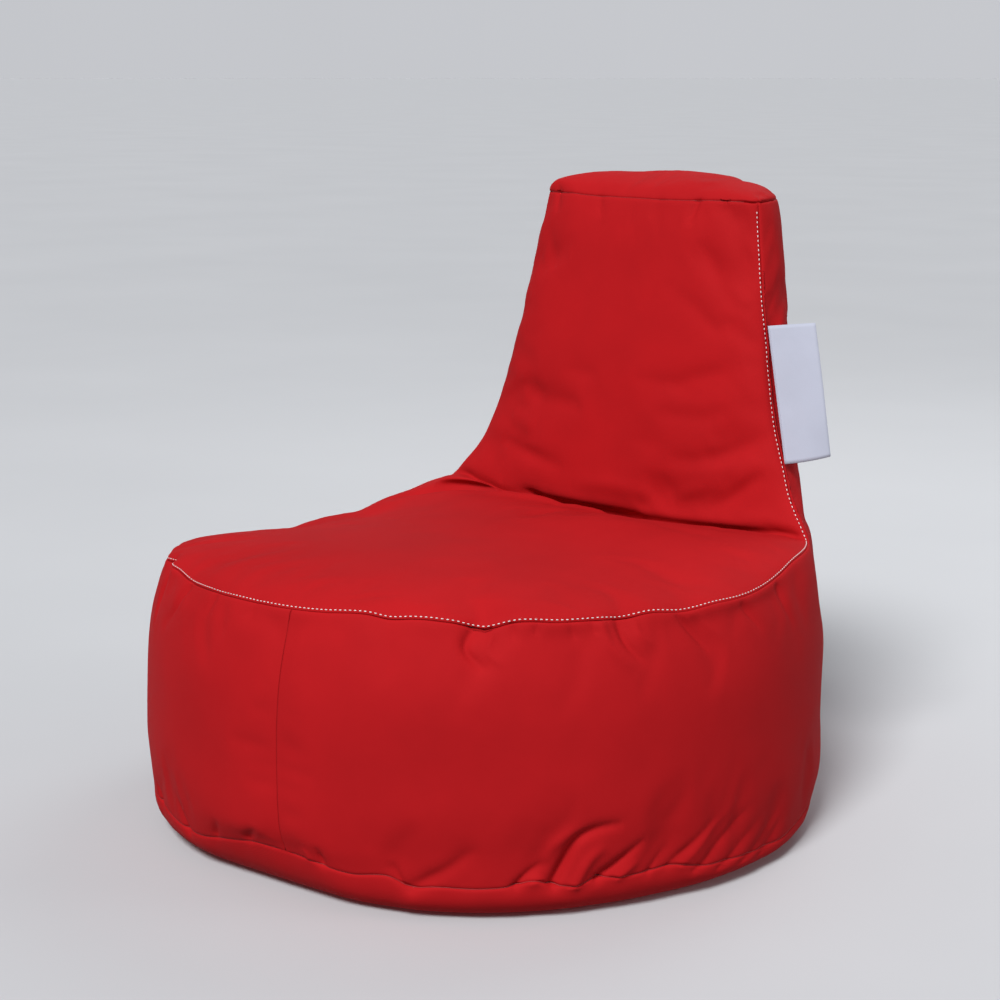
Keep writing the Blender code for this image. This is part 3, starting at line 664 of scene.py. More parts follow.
def subdivided(mesh):
    obj = link(bpy.data.objects.new("cover_fine", mesh))
    finer = obj.modifiers.new("Fine", "SUBSURF")
    finer.levels = finer.render_levels = 1
    evaluated = obj.evaluated_get(bpy.context.evaluated_depsgraph_get())
    fine = bpy.data.meshes.new_from_object(evaluated)
    bpy.data.objects.remove(obj)
    return fine


def refined(mesh):
    """The mesh with smaller faces where its creases run."""
    co = coordinates(mesh)
    touched = sum(np.abs(crease_depth(co, *crease)) for crease in all_creases()) > REFINE_OVER
    bm = bmesh.new()
    bm.from_mesh(mesh)
    bm.verts.ensure_lookup_table()
    edges = [edge for edge in bm.edges if all(touched[v.index] for v in edge.verts)]
    bmesh.ops.subdivide_edges(bm, edges=edges, cuts=1, use_grid_fill=True, smooth=0.0)
    bm.to_mesh(mesh)
    bm.free()
    return mesh


def into_face(edge):
    face = edge.link_faces[0]
    along = (edge.verts[1].co - edge.verts[0].co).normalized()
    across = face.normal.cross(along).normalized()
    middle = (edge.verts[0].co + edge.verts[1].co) / 2
    return across if across.dot(face.calc_center_median() - middle) > 0 else -across


def border_path(bm):
    """The panel's border in order, as a list of (point, normal, direction into the panel)."""
    first = next(edge for edge in bm.edges if edge.is_boundary)
    verts, vert, edge = [], first.verts[0], first
    while True:
        verts.append(vert)
        vert = edge.other_vert(vert)
        if vert is verts[0]:
            break
        edge = next(e for e in vert.link_edges if e.is_boundary and e is not edge)
    path = []
    for vert in verts:
        edges = [e for e in vert.link_edges if e.is_boundary]
        normal = sum((e.link_faces[0].normal for e in edges), Vector()).normalized()
        inward = sum((into_face(e) for e in edges), Vector()).normalized()
        path.append((vert.co.copy(), normal, inward))
    return path


def panel_bmesh(fine, number):
    bm = bmesh.new()
    bm.from_mesh(fine)
    layer = bm.faces.layers.int["panel"]
    others = [face for face in bm.faces if face[layer] != number]
    bmesh.ops.delete(bm, geom=others, context="FACES")
    bm.normal_update()
    return bm


def groove_share(co):
    """How deep the seam's groove is at a point: shallow down the wall's front seam."""
    off_seam = abs(math.atan2(co.x, co.y) - seam_angles()[FRONT_SEAM_COLUMN])
    on_wall_seam = co.y < 0 and off_seam < WALL_SEAM_ANGLE and WALL_SEAM_LOW < co.z < WALL_SEAM_HIGH
    return WALL_SEAM_SHARE if on_wall_seam else 1.0


def roll_border(bm):
    """Turn the panel's edge down into the seam's groove."""
    for width in RING_WIDTHS:
        bmesh.ops.inset_region(bm, faces=bm.faces[:], use_boundary=True, use_even_offset=True,
                               thickness=width)
    bm.normal_update()
    ring = {v for v in bm.verts if v.is_boundary}
    seen = set()
    for sink in RING_SINKS:
        for vert in ring:
            vert.co -= vert.normal * sink * groove_share(vert.co)
        seen |= ring
        ring = {e.other_vert(v) for v in ring for e in v.link_edges} - seen
    bm.normal_update()


def clear_the_zip(bm, side):
    """The side panels stop short of the rear middle line, beside the zip."""
    for vert in bm.verts:
        x, y, z = vert.co
        share = 1.0 - abs(x) / (ZIP_EDGE * 3)
        if y > 0.3 and share > 0.0:
            along = float(smooth(*ZIP_STARTS, z) * (1.0 - smooth(*ZIP_ENDS, z)))
            vert.co.x = x + side * share * ZIP_EDGE * along


def panel_object(name, bm, look, cloth):
    mesh = bpy.data.meshes.new(name)
    bm.to_mesh(mesh)
    mesh.shade_smooth()
    mesh.materials.clear()
    mesh.materials.append(look)
    return thickened(link(bpy.data.objects.new(name, mesh)), cloth)


def stand_for(obj, node, body="bag"):
    """obj is a piece of that body and is seen in place of a CAD node, if one is named."""
    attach(obj, body)
    if node:
        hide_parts(node)
    return obj


def make_panels(looks, fine):
    made = {}
    for number, word in enumerate(PANELS):
        bm = panel_bmesh(fine, number)
        path = border_path(bm)
        roll_border(bm)
        if number in (1, 2):
            clear_the_zip(bm, 1 if number == 1 else -1)
        piece, node = PANEL_PIECES[word]
        obj = stand_for(panel_object(piece, bm, looks["red_cloth"], CLOTH_THICK), node)
        made[word] = (obj, path, BVHTree.FromBMesh(bm))
        bm.free()
    return made


PANEL_PIECES = {
    "seat_back": ("front_cover", "seat_back_panel"),
    "side_right": ("right_cover", "side_panel_right"),
    "side_left": ("left_cover", "side_panel_left"),
    "top_cap": ("cap_cover", "top_cap_panel"),
    "base": ("base_cover", "base_panel"),
}
BLUR_ROUNDS = 60
REFINE_OVER = 0.0003
PUCKER_GAIN = 0.55
PUCKER_MOST = 0.010
RING_WIDTHS = (0.0022, 0.0009)
RING_SINKS = (0.0021, 0.0008, 0.0002)
CLOTH_THICK = 0.0010
WALL_SEAM_ANGLE, WALL_SEAM_SHARE = 0.03, 0.3
WALL_SEAM_LOW, WALL_SEAM_HIGH = BASE_Z + 0.012, SEAT_Z - 0.014
ZIP_EDGE = 0.0045
ZIP_STARTS, ZIP_ENDS = (0.165, 0.185), (0.632, 0.650)


# ---- Liner and bead fill
def inner_mesh(name, mesh, depth):
    """The cover's shape, evened out and moved inward by that depth."""
    inner = mesh.copy()
    inner.name = name
    pairs = np.array([edge.vertices[:] for edge in inner.edges])
    normals = blurred(vertex_normals(inner), pairs, len(inner.vertices), 6)
    normals /= np.maximum(np.linalg.norm(normals, axis=1, keepdims=True), 1e-6)
    co = coordinates(inner) - normals * depth
    across = np.hypot(co[:, 1] - CREASE_Y, co[:, 2] - CORNER_Z)
    under_fold = np.exp(-(across / 0.06) ** 2) * (np.abs(co[:, 0]) < CORNER_X)
    co += under_fold[:, None] * depth * np.array((0.0, 1.6, -1.8))
    set_coordinates(inner, blurred(co, pairs, len(co), 3))
    return inner


def make_insides(looks, mesh):
    fill = link(bpy.data.objects.new("bead_filling", inner_mesh("bead_filling", mesh, FILL_DEPTH)))
    fill.data.materials.clear()
    fill.data.materials.append(looks["beads"])
    fill.data.shade_smooth()
    stand_for(fill, "bead_fill")
    liner = inner_mesh("liner_bag", mesh, LINER_DEPTH)
    bm = bmesh.new()
    bm.from_mesh(liner)
    mouth = [f for f in bm.faces if is_mouth(f.calc_center_median())]
    bmesh.ops.delete(bm, geom=mouth, context="FACES")
    obj = panel_object("liner_bag", bm, looks["lining"], LINER_THICK)
    bm.free()
    stand_for(obj, "inner_liner")
    return fill, obj


def is_mouth(centre):
    """The liner's filling mouth, an opening behind the zip."""
    return abs(centre.x) < MOUTH_HALF and centre.y > 0.3 and MOUTH_LOW < centre.z < MOUTH_HIGH


LINER_DEPTH, FILL_DEPTH = 0.0085, 0.0120
LINER_THICK = 0.0006
MOUTH_HALF, MOUTH_LOW, MOUTH_HIGH = 0.06, 0.30, 0.51


# ---- Stitches and threads
def stitch_route(path, start, end, inset):
    """Line beside the border from near start to near end, the way that passes the front."""
    points = [p for p, _, _ in path]
    first = min(range(len(path)), key=lambda i: (points[i] - Vector(start)).length)
    last = min(range(len(path)), key=lambda i: (points[i] - Vector(end)).length)
    ways = []
    for step in (1, -1):
        way, i = [], first
        while i != last:
            way.append(i)
            i = (i + step) % len(path)
        ways.append(way + [last])
    way = min(ways, key=lambda w: min(points[i].y for i in w))
    return [path[i][0] + path[i][2] * inset for i in way]


def capsule(segments=8):
    """Unit stitch along X with rounded ends, as points and faces."""
    turns = [2 * math.pi * k / segments for k in range(segments)]
    rings = ((-0.92, 0.55), (-0.72, 0.9), (0.0, 1.0), (0.72, 0.9), (0.92, 0.55))
    rings = [[(x, r * math.cos(turn), r * math.sin(turn)) for turn in turns] for x, r in rings]
    points, faces = lofted(rings)
    low_end, high_end = len(points), len(points) + 1
    last = len(points) - segments
    faces = faces[:-2]
    for k in range(segments):
        j = (k + 1) % segments
        faces += [(low_end, j, k), (last + k, last + j, high_end)]
    return points + [(-1.0, 0.0, 0.0), (1.0, 0.0, 0.0)], faces


def many(name, frames, size, look):
    """One mesh of a capsule in each of the frames (place, along, side, normal)."""
    unit, unit_faces = capsule()
    points, faces = [], []
    for place, along, side, normal in frames:
        turn = Matrix((along, side, normal)).transposed()
        start = len(points)
        points += [place + turn @ Vector((x * size[0], y * size[1], z * size[2])) for x, y, z in unit]
        faces += [tuple(start + i for i in face) for face in unit_faces]
    return mesh_piece(name, points, faces, look)


def stitches(name, route, tree, look):
    """Separate stitches that lie half sunk in the surface along the route."""
    frames = []
    centres = resampled(route, STITCH_PITCH)
    for a, b in zip(centres[:-1], centres[1:]):
        spot, normal, _, _ = tree.find_nearest(Vector((a + b) / 2))
        along = Vector(b - a)
        along = (along - normal * along.dot(normal)).normalized()
        frames.append((spot + normal * STITCH_R * 0.35, along, normal.cross(along), normal))
    return many(name, frames, (STITCH_LENGTH / 2, STITCH_R, STITCH_R * 0.8), look)


def make_topstitch(panels, looks):
    _, path, tree = panels["seat_back"]
    half, y = float(back_half_width(TOP_Z)), float(back_seam_y(TOP_Z))
    route = stitch_route(path, (-half, y, TOP_Z), (half, y, TOP_Z), STITCH_INSET)
    obj = stitches("white_topstitch", route[2:-2], tree, looks["white_thread"])
    stand_for(obj, "topstitch_thread")


def tube(name, points, radius, closed, look, sides=6):
    """A thread through the points."""
    count = len(points)
    turns = [2 * math.pi * k / sides for k in range(sides)]
    rings = []
    for i, point in enumerate(points):
        ahead = points[(i + 1) % count] if closed or i + 1 < count else point
        behind = points[i - 1] if closed or i else point
        along = (ahead - behind).normalized()
        side = along.cross(Vector((0.31, 0.17, 0.94))).normalized()
        up = side.cross(along)
        rings.append([point + side * radius * math.cos(t) + up * radius * math.sin(t) for t in turns])
    return mesh_piece(name, *lofted(rings, closed), look)


def groove(path, keep):
    """Points of a border, in order, where keep(point) holds, set down in the seam's groove."""
    kept = [keep(p) for p, _, _ in path]
    count = len(path)
    start = next((i for i in range(count) if kept[i] and not kept[i - 1]), 0)
    order = [(start + i) % count for i in range(count)]
    return [path[i][0] - path[i][1] * GROOVE_DEPTH for i in order if kept[i]]


def make_groove_threads(panels, looks):
    seam_angle = seam_angles()[FRONT_SEAM_COLUMN]
    base = groove(panels["base"][1], lambda p: True)
    top_y = back_seam_y(TOP_Z)
    wall = groove(panels["side_right"][1], lambda p: (
        p.y < 0 and abs(math.atan2(p.x, p.y) - seam_angle) < 0.02 and 0.055 < p.z < 0.315))
    brow = groove(panels["top_cap"][1], lambda p: p.y < top_y - 0.001 and abs(p.x) < 0.165)
    rear = groove(panels["top_cap"][1], lambda p: p.y > top_y + 0.004 and abs(p.x) < 0.169)
    pieces = (
        ("base_groove_thread", base, True, "base_seam_thread"),
        ("wall_groove_thread", wall, False, "front_seam_thread"),
        ("brow_groove_thread", brow, False, "cap_front_thread"),
        ("cap_groove_thread", rear, False, "cap_rear_thread"),
    )
    for name, points, closed, node in pieces:
        stand_for(tube(name, points, THREAD_R, closed, looks["red_thread"]), node)


STITCH_INSET = 0.0030
STITCH_PITCH, STITCH_LENGTH, STITCH_R = 0.0058, 0.0028, 0.0006
THREAD_R = 0.0005
GROOVE_DEPTH = 0.0016


# ---- Flag label
def label_point(out, high, face):
    """Point of the folded label: out from the seam 0 to 1, up 0 to 1, face 1 or -1 for its two plies."""
    curl = LABEL_CURL * out ** 2 * (1.0 - 0.7 * high) - 0.0022 * math.sin(math.pi * high) * out
    ripple = 0.0007 * math.sin(5.1 * high + 1.0) * out
    gap = LABEL_GAP * (0.45 + 0.55 * math.sin(math.pi * min(out * 1.02, 1.0)) ** 0.8)
    sag = 0.0060 * out ** 2 * (1.0 - high) ** 2 - 0.0015 * out
    up = LABEL_LENGTH * (high - 0.5) + sag
    return Vector((LABEL_ROOT + LABEL_WIDTH * out, face * gap + curl + ripple, up))


def make_label(looks):
    """Blank woven label, folded at its free edge, with its two ends sewn into the seam."""
    middle = Vector(label_seam_point(0.5)) + Vector((*LABEL_SHIFT, 0.0))
    up = (Vector(label_seam_point(1.0)) - Vector(label_seam_point(0.0))).normalized()
    out = Vector((math.cos(LABEL_YAW), math.sin(LABEL_YAW), 0.0))
    out = (out - up * out.dot(up)).normalized()
    turn = Matrix((out, up.cross(out), up)).transposed()
    steps, rows = 16, 36
    outline = [(i / steps, 1) for i in range(steps + 1)]
    outline += [(1.0 + 0.004, 0)] + [(i / steps, -1) for i in range(steps, -1, -1)]
    rings = [[middle + turn @ label_point(o, r / rows, face) for o, face in outline]
             for r in range(rows + 1)]
    obj = mesh_piece("blank_label", *lofted(rings, around=False), looks["label_cloth"])
    thickened(obj, LABEL_THICK, 0.0)
    uv = obj.data.uv_layers.new(name="weave")
    for loop, corner in enumerate(obj.data.loops):
        r, column = divmod(corner.vertex_index, len(outline))
        uv.data[loop].uv = (LABEL_WIDTH * outline[column][0], LABEL_LENGTH * r / rows)
    stand_for(obj, "flag_label", "label")
    frames = []
    for face in (1, -1):
        for k in range(int(LABEL_LENGTH / TACK_PITCH)):
            h = (k + 0.5) * TACK_PITCH / LABEL_LENGTH
            place = label_point(TACK_OUT, h, face) + Vector((0.0, face * 0.0003, 0.0))
            frames.append((middle + turn @ place, turn.col[2], turn.col[0], turn.col[1]))
    tacks = many("label_tacks", frames, TACK_SIZE, looks["label_cloth"])
    stand_for(tacks, None, "label")
    return obj


def label_seam_point(share):
    z = LABEL_LOW_Z + (LABEL_HIGH_Z - LABEL_LOW_Z) * share
    return float(back_half_width(z)), float(back_seam_y(z)), z


LABEL_LOW_Z, LABEL_HIGH_Z = 0.427, 0.592
TACK_OUT, TACK_PITCH, TACK_SIZE = 0.03, 0.003, (0.0011, 0.00025, 0.0002)
LABEL_LENGTH = 0.1732
LABEL_WIDTH = 0.060
LABEL_YAW = math.radians(48.0)
LABEL_ROOT = 0.0035
LABEL_GAP = 0.0010
LABEL_CURL = 0.0090
LABEL_THICK = 0.0004
LABEL_HOLLOW = (0.004, 0.014, 0.0)     # the side panel gives way behind the label
LABEL_SHIFT = (0.007, 0.000)


# ---- Rear zip
def rear_place(z, out, x=0.0):
    """Point beside the rear middle line: out is the distance outside it."""
    y = float(rear_line(np.float64(z)))
    return Vector((x, y + out * math.cos(REAR_LEAN), z - out * math.sin(REAR_LEAN)))


def rear_turn():
    return Matrix.Rotation(-REAR_LEAN, 3, "X")


def woven_strip(name, rows, thick, look):
    """Strip of cloth over rows of points, as thick as that on its inner side."""
    obj = mesh_piece(name, *lofted(rows, around=False), look)
    if sum(polygon.normal.y for polygon in obj.data.polygons) < 0.0:
        obj.data.flip_normals()
    return thickened(obj, thick)


def make_tapes(looks):
    """Zip tapes with a corded inner edge and a slight ripple along them."""
    for word in ("right", "left"):
        low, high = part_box(f"zip_tape_{word}")
        rows = []
        for z in np.linspace(low[2] + 0.001, high[2] - 0.001, 140):
            row = []
            for x in np.linspace(low[0], high[0], 12):
                cord = 0.00022 * math.exp(-((abs(x) - 0.0018) / 0.0006) ** 2)
                ripple = 0.00020 * math.sin(z * 260.0 + x * 300.0)
                row.append(rear_place(float(z), ripple + cord - TAPE_DEPTH, float(x)))
            rows.append(row)
        obj = woven_strip(f"woven_tape_{word}", rows, TAPE_THICK, looks["red_tape"])
        stand_for(obj, f"zip_tape_{word}")


def make_zip(looks):
    """Coil teeth of both sides, meshed, in place of the plain coils."""
    turn = rear_turn()
    up, out = turn @ Vector((0, 0, 1)), turn @ Vector((0, 1, 0))
    for side, word in ((1, "right"), (-1, "left")):
        frames = []
        count = int((ZIP_TOP - ZIP_BOTTOM - 0.012) / TOOTH_PITCH)
        for k in range(count):
            z = ZIP_BOTTOM + 0.006 + TOOTH_PITCH * (k + (0.25 if side > 0 else 0.75))
            frames.append((rear_place(z, -0.0019, side * 0.0012), Vector((1, 0, 0)), up, out))
        teeth = many(f"zip_teeth_{word}", frames, TOOTH_SIZE, looks["coil"])
        stand_for(teeth, f"zip_coil_{word}")


ZIP_BOTTOM, ZIP_TOP = 0.200, 0.610
TOOTH_PITCH, TOOTH_SIZE = 0.0016, (0.0013, 0.00036, 0.0006)
TAPE_DEPTH, TAPE_THICK = 0.0031, 0.0005
REAR_LEAN = math.atan(REAR_SLOPE)


# ---- Carry handle
def strap_point(angle, across, level):
    """Point of the strap: angle along its bow, across -1 to 1, level -1 (inner) to 1 (outer)."""
    x = HANDLE_HALF * math.sin(angle) * (1.0 if level > 0 else 0.985)
    share = min(abs(x) / HANDLE_HALF, 1.0)
    bow = HANDLE_REACH * (1 - min(share, 1.0) ** 2) ** 0.6
    half = (HANDLE_WIDTH + (HANDLE_END_WIDTH - HANDLE_WIDTH) * float(smooth(0.45, 0.95, share))) / 2
    ply = HANDLE_THICK / 2 * (1 - 0.35 * abs(across) ** 4)
    rib = 0.00015 * math.cos(across * math.pi * 6)
    return Vector((x, bow + level * (ply + rib), across * half))


def make_handle(looks):
    rear_y = float(rear_line(np.float64(HANDLE_Z)))
    hinge = Vector((0.0, rear_y + HANDLE_STANDOFF, HANDLE_Z))
    turn = Matrix.Rotation(-HANDLE_DROOP, 3, "X")
    along, across = 60, 24
    ring = [(-1 + 2 * k / across, 1) for k in range(across + 1)]
    ring += [(1 - 2 * k / across, -1) for k in range(across + 1)]
    angles = [-math.pi / 2 + math.pi * i / along for i in range(along + 1)]
    rings = [[hinge + turn @ strap_point(angle, a, level) for a, level in ring] for angle in angles]
    obj = mesh_piece("webbing_handle", *lofted(rings), looks["webbing"])
    bm = bmesh.new()
    bm.from_mesh(obj.data)
    bmesh.ops.recalc_face_normals(bm, faces=bm.faces)
    bm.to_mesh(obj.data)
    bm.free()
    return stand_for(obj, "carry_handle", "handle")


def make_tab(word, tree, looks):
    """Folded end of the webbing, ribbed along its length, over the shape of the CAD's tab."""
    low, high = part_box(f"handle_tab_{word}")
    near, far = sorted((low[0], high[0]), key=abs)
    near -= math.copysign(TAB_REACH, near)
    rows = []
    for z in np.linspace(low[2] + 0.0003, high[2] - 0.0003, 49):
        row = []
        for x in np.linspace(near, far, 38):
            over = float(np.clip(x, low[0] + 0.0003, high[0] - 0.0003))
            spot, _, _, _ = tree.ray_cast(Vector((over, BEHIND_Y, z)), Vector((0, -1, 0)))
            edge = min(abs(z - low[2]), abs(z - high[2]), abs(x - near), abs(x - far))
            rib = 0.00014 * math.cos((z - HANDLE_Z) * math.tau / 0.0020)
            row.append(Vector((x, spot.y + rib - 0.0007 * math.exp(-edge / 0.0007), z)))
        rows.append(row)
    obj = woven_strip(f"webbing_tab_{word}", rows, TAB_THICK, looks["webbing"])
    return stand_for(obj, f"handle_tab_{word}")


def make_tabs(looks):
    """The webbing's two sewn ends, each with a box and cross of stitches."""
    for side, word in ((1, "right"), (-1, "left")):
        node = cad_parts[f"handle_tab_{word}"]
        tree = BVHTree.FromPolygons([v.co[:] for v in node.data.vertices],
                                    [p.vertices[:] for p in node.data.polygons])
        make_tab(word, tree, looks)
        near, far = HANDLE_HALF + BOX_NEAR, HANDLE_HALF + BOX_FAR
        low, high = HANDLE_Z - BOX_HALF, HANDLE_Z + BOX_HALF
        corners = [(near, low), (far, low), (far, high), (near, high), (near, low), (far, high)]
        corners += [(far, low), (near, high)]
        frames = []
        for (xa, za), (xb, zb) in zip(corners[:-1], corners[1:]):
            ends = [(side * xa, BEHIND_Y, za), (side * xb, BEHIND_Y, zb)]
            for point in resampled(ends, HANDLE_PITCH)[:-1]:
                spot, normal, _, _ = tree.ray_cast(Vector(point), Vector((0, -1, 0)))
                if spot is None:
                    continue
                along = Vector((side * (xb - xa), 0.0, zb - za)).normalized()
                along = (along - normal * along.dot(normal)).normalized()
                frames.append((spot + normal * 0.0002, along, normal.cross(along), normal))
        obj = many(f"handle_stitches_{word}", frames, HANDLE_STITCH, looks["red_thread"])
        stand_for(obj, None)


HANDLE_Z, HANDLE_HALF, HANDLE_REACH = 0.688, 0.062, 0.034
HANDLE_STANDOFF = 0.0085
HANDLE_WIDTH, HANDLE_END_WIDTH = 0.024, 0.009
HANDLE_THICK = 0.0026
TAB_THICK, TAB_REACH = 0.0012, 0.0021
BOX_NEAR, BOX_FAR, BOX_HALF = 0.0145, 0.0300, 0.009     # the box of stitches on each tab
HANDLE_STITCH, HANDLE_PITCH = (0.0010, 0.0003, 0.0003), 0.0026
BEHIND_Y = 0.6      # rays towards the back start this far out
HANDLE_DROOP = math.radians(50.0)


# ---- Materials
def new_material(name):
    made = bpy.data.materials.new(name)
    made.use_nodes = True
    return made, made.node_tree, made.node_tree.nodes["Principled BSDF"]


def add_node(tree, kind, inputs=(), **settings):
    node = tree.nodes.new(kind)
    for key, value in settings.items():
        setattr(node, key, value)
    for key, value in dict(inputs).items():
        node.inputs[key].default_value = value
    return node


def noise_at(tree, scale, detail=4.0, roughness=0.5):
    """Noise fixed to the object's own coordinates."""
    place = add_node(tree, "ShaderNodeTexCoord")
    noise = add_node(tree, "ShaderNodeTexNoise", {"Scale": scale, "Detail": detail, "Roughness": roughness})
    tree.links.new(place.outputs["Object"], noise.inputs["Vector"])
    return noise


def two_tones(tree, source, low, high, start=0.3, end=0.7):
    ramp = add_node(tree, "ShaderNodeValToRGB")
    for element, position, colour in zip(ramp.color_ramp.elements, (start, end), (low, high)):
        element.position = position
        element.color = (*colour, 1.0)
    tree.links.new(source, ramp.inputs["Fac"])
    return ramp.outputs["Color"]


def bump_chain(tree, layers, shader):
    """Bumps from the coarsest to the finest: each layer is (height socket, strength, distance)."""
    below = None
    for height, strength, distance in layers:
        bump = add_node(tree, "ShaderNodeBump", {"Strength": strength, "Distance": distance})
        tree.links.new(height, bump.inputs["Height"])
        if below:
            tree.links.new(below, bump.inputs["Normal"])
        below = bump.outputs["Normal"]
    tree.links.new(below, shader.inputs["Normal"])


def uneven_roughness(tree, shader, noise, low, high):
    rough = add_node(tree, "ShaderNodeMapRange", {"To Min": low, "To Max": high})
    tree.links.new(noise.outputs["Fac"], rough.inputs["Value"])
    tree.links.new(rough.outputs["Result"], shader.inputs["Roughness"])


def weave_height(tree, pitch, source="UV"):
    """Height of a plain weave of that thread pitch, over the piece's flat layout."""
    if source == "UV":
        place = add_node(tree, "ShaderNodeUVMap", uv_map="weave")
    else:
        place = add_node(tree, "ShaderNodeTexCoord")
    waves = []
    for direction in ("X", "Y"):
        wave = add_node(tree, "ShaderNodeTexWave",
                        {"Scale": math.tau / 20.0 / pitch, "Distortion": 0.5, "Detail": 1.0},
                        wave_type="BANDS", bands_direction=direction)
        tree.links.new(place.outputs[source], wave.inputs["Vector"])
        waves.append(wave.outputs["Fac"])
    product = add_node(tree, "ShaderNodeMath", operation="MULTIPLY")
    tree.links.new(waves[0], product.inputs[0])
    tree.links.new(waves[1], product.inputs[1])
    return product.outputs["Value"]


def cloth_material(name, colour, pitch=0.0008, sheen=0.01, roughness=0.72, source="UV"):
    """Coated plain-weave cloth with worn, slightly uneven colour, painted shade in the weave's gaps and
    faint soft creases.
    """
    made, tree, shader = new_material(name)
    blotch = noise_at(tree, 7.0, 6.0, 0.55)
    tone = two_tones(tree, blotch.outputs["Fac"], [c * 0.86 for c in colour], colour)
    weave = weave_height(tree, pitch, source)
    # Painted shade: the colour is darkened where the weave is low, in the gaps between the threads.
    thread = two_tones(tree, weave, (0.90, 0.88, 0.88), (1.0, 1.0, 1.0), 0.0, 0.6)
    shade = add_node(tree, "ShaderNodeMix", data_type="RGBA", blend_type="MULTIPLY")
    shade.inputs["Factor"].default_value = 1.0
    tree.links.new(tone, shade.inputs["A"])
    tree.links.new(thread, shade.inputs["B"])
    tree.links.new(shade.outputs["Result"], shader.inputs["Base Color"])
    crumple = noise_at(tree, 26.0, 3.0, 0.45)
    bump_chain(tree, [(crumple.outputs["Fac"], 0.06, 0.005), (weave, 0.22, pitch * 0.3)], shader)
    uneven_roughness(tree, shader, blotch, roughness - 0.05, roughness + 0.08)
    shader.inputs["Specular IOR Level"].default_value = 0.06
    shader.inputs["Sheen Weight"].default_value = sheen
    shader.inputs["Sheen Roughness"].default_value = 0.45
    shader.inputs["Sheen Tint"].default_value = (*[min(1.0, c + 0.35) for c in colour], 1.0)
    return made


def grained_material(name, colour, roughness, metallic=0.0, grain=700.0, depth=0.0001):
    """Finely grained finish: twisted thread, nylon or brushed metal."""
    made, tree, shader = new_material(name)
    noise = noise_at(tree, grain, 3.0)
    tree.links.new(two_tones(tree, noise.outputs["Fac"], [c * 0.8 for c in colour], colour),
                   shader.inputs["Base Color"])
    bump_chain(tree, [(noise.outputs["Fac"], 0.3, depth)], shader)
    uneven_roughness(tree, shader, noise, roughness - 0.06, roughness + 0.08)
    shader.inputs["Metallic"].default_value = metallic
    return made


def bead_material():
    made, tree, shader = new_material("polystyrene_beads")
    place = add_node(tree, "ShaderNodeTexCoord")
    beads = add_node(tree, "ShaderNodeTexVoronoi", {"Scale": 250.0})
    tree.links.new(place.outputs["Object"], beads.inputs["Vector"])
    # Painted shade: each bead is lightest at its middle and darker towards the gaps between the beads,
    # where shade falls.
    tree.links.new(two_tones(tree, beads.outputs["Distance"], (0.92, 0.92, 0.92), (0.70, 0.70, 0.71)),
                   shader.inputs["Base Color"])
    bump_chain(tree, [(beads.outputs["Distance"], -0.8, 0.002)], shader)
    shader.inputs["Roughness"].default_value = 0.55
    return made


def make_looks():
    return {
        "red_cloth": cloth_material("red_polyester", RED),
        "red_thread": grained_material("red_thread", (0.40, 0.012, 0.016), 0.6),
        "red_tape": cloth_material("red_zip_tape", (0.36, 0.010, 0.013), 0.0006, source="Object"),
        "webbing": cloth_material("red_webbing", (0.38, 0.010, 0.014), 0.0016, 0.1, source="Object"),
        "white_thread": grained_material("white_thread", (0.86, 0.76, 0.76), 0.55, grain=900.0),
        "metal": grained_material("zip_metal", (0.62, 0.62, 0.64), 0.28, 1.0),
        "coil": grained_material("zip_coil", (0.40, 0.012, 0.015), 0.35),
        # Painted shade: the label's colour is set darker and bluer to stand in for the shade in its folds.
        "label_cloth": cloth_material("label_satin", (0.53, 0.56, 0.67), 0.0005, 0.1, 0.45),
        "lining": cloth_material("liner_cloth", (0.74, 0.74, 0.71), 0.0006),
        "beads": bead_material(),
    }


RED = (0.475, 0.0098, 0.0130)


def dress_nodes(looks):
    """Procedural materials for the CAD nodes listed in NODE_LOOKS, shown or not."""
    for name, look in NODE_LOOKS.items():
        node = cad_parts[name]
        node.data.materials.clear()
        node.data.materials.append(looks[look])


NODE_LOOKS = {
    "zip_tape_left": "red_tape", "zip_tape_right": "red_tape",
    "zip_top_stop": "metal", "zip_bottom_stop": "metal",
    "zip_slider": "metal", "zip_slider_bridge": "metal", "zip_pull_tab": "metal",
    "handle_tab_left": "webbing", "handle_tab_right": "webbing",
}


# ---- Floor, light and camera
def make_floor():
    bpy.ops.mesh.primitive_plane_add(size=400.0, location=(0.0, 0.0, -0.0005))
    floor = bpy.context.object
    floor.name = "floor"
    made, tree, shader = new_material("pale_floor")
    noise = noise_at(tree, 1.2, 5.0)
    tree.links.new(two_tones(tree, noise.outputs["Fac"], *FLOOR_TONES), shader.inputs["Base Color"])
    shader.inputs["Roughness"].default_value = 0.8
    shader.inputs["Specular IOR Level"].default_value = 0.1
    floor.data.materials.append(made)
    floor.visible_diffuse = False


def make_backdrop():
    """Pale wall far round the floor. It lights nothing."""
    bpy.ops.mesh.primitive_cylinder_add(vertices=96, radius=180.0, depth=200.0, end_fill_type="NOTHING",
                                        location=(0.0, 0.0, 90.0))
    wall = bpy.context.object
    wall.name = "backdrop"
    wall.visible_diffuse = wall.visible_glossy = wall.visible_shadow = False
    made, tree, shader = new_material("pale_wall")
    noise = noise_at(tree, 0.02, 2.0)
    tree.links.new(two_tones(tree, noise.outputs["Fac"], BACKDROP, [c * 1.04 for c in BACKDROP]),
                   shader.inputs["Emission Color"])
    shader.inputs["Emission Strength"].default_value = 1.0
    shader.inputs["Base Color"].default_value = (0.0, 0.0, 0.0, 1.0)
    wall.data.materials.append(made)


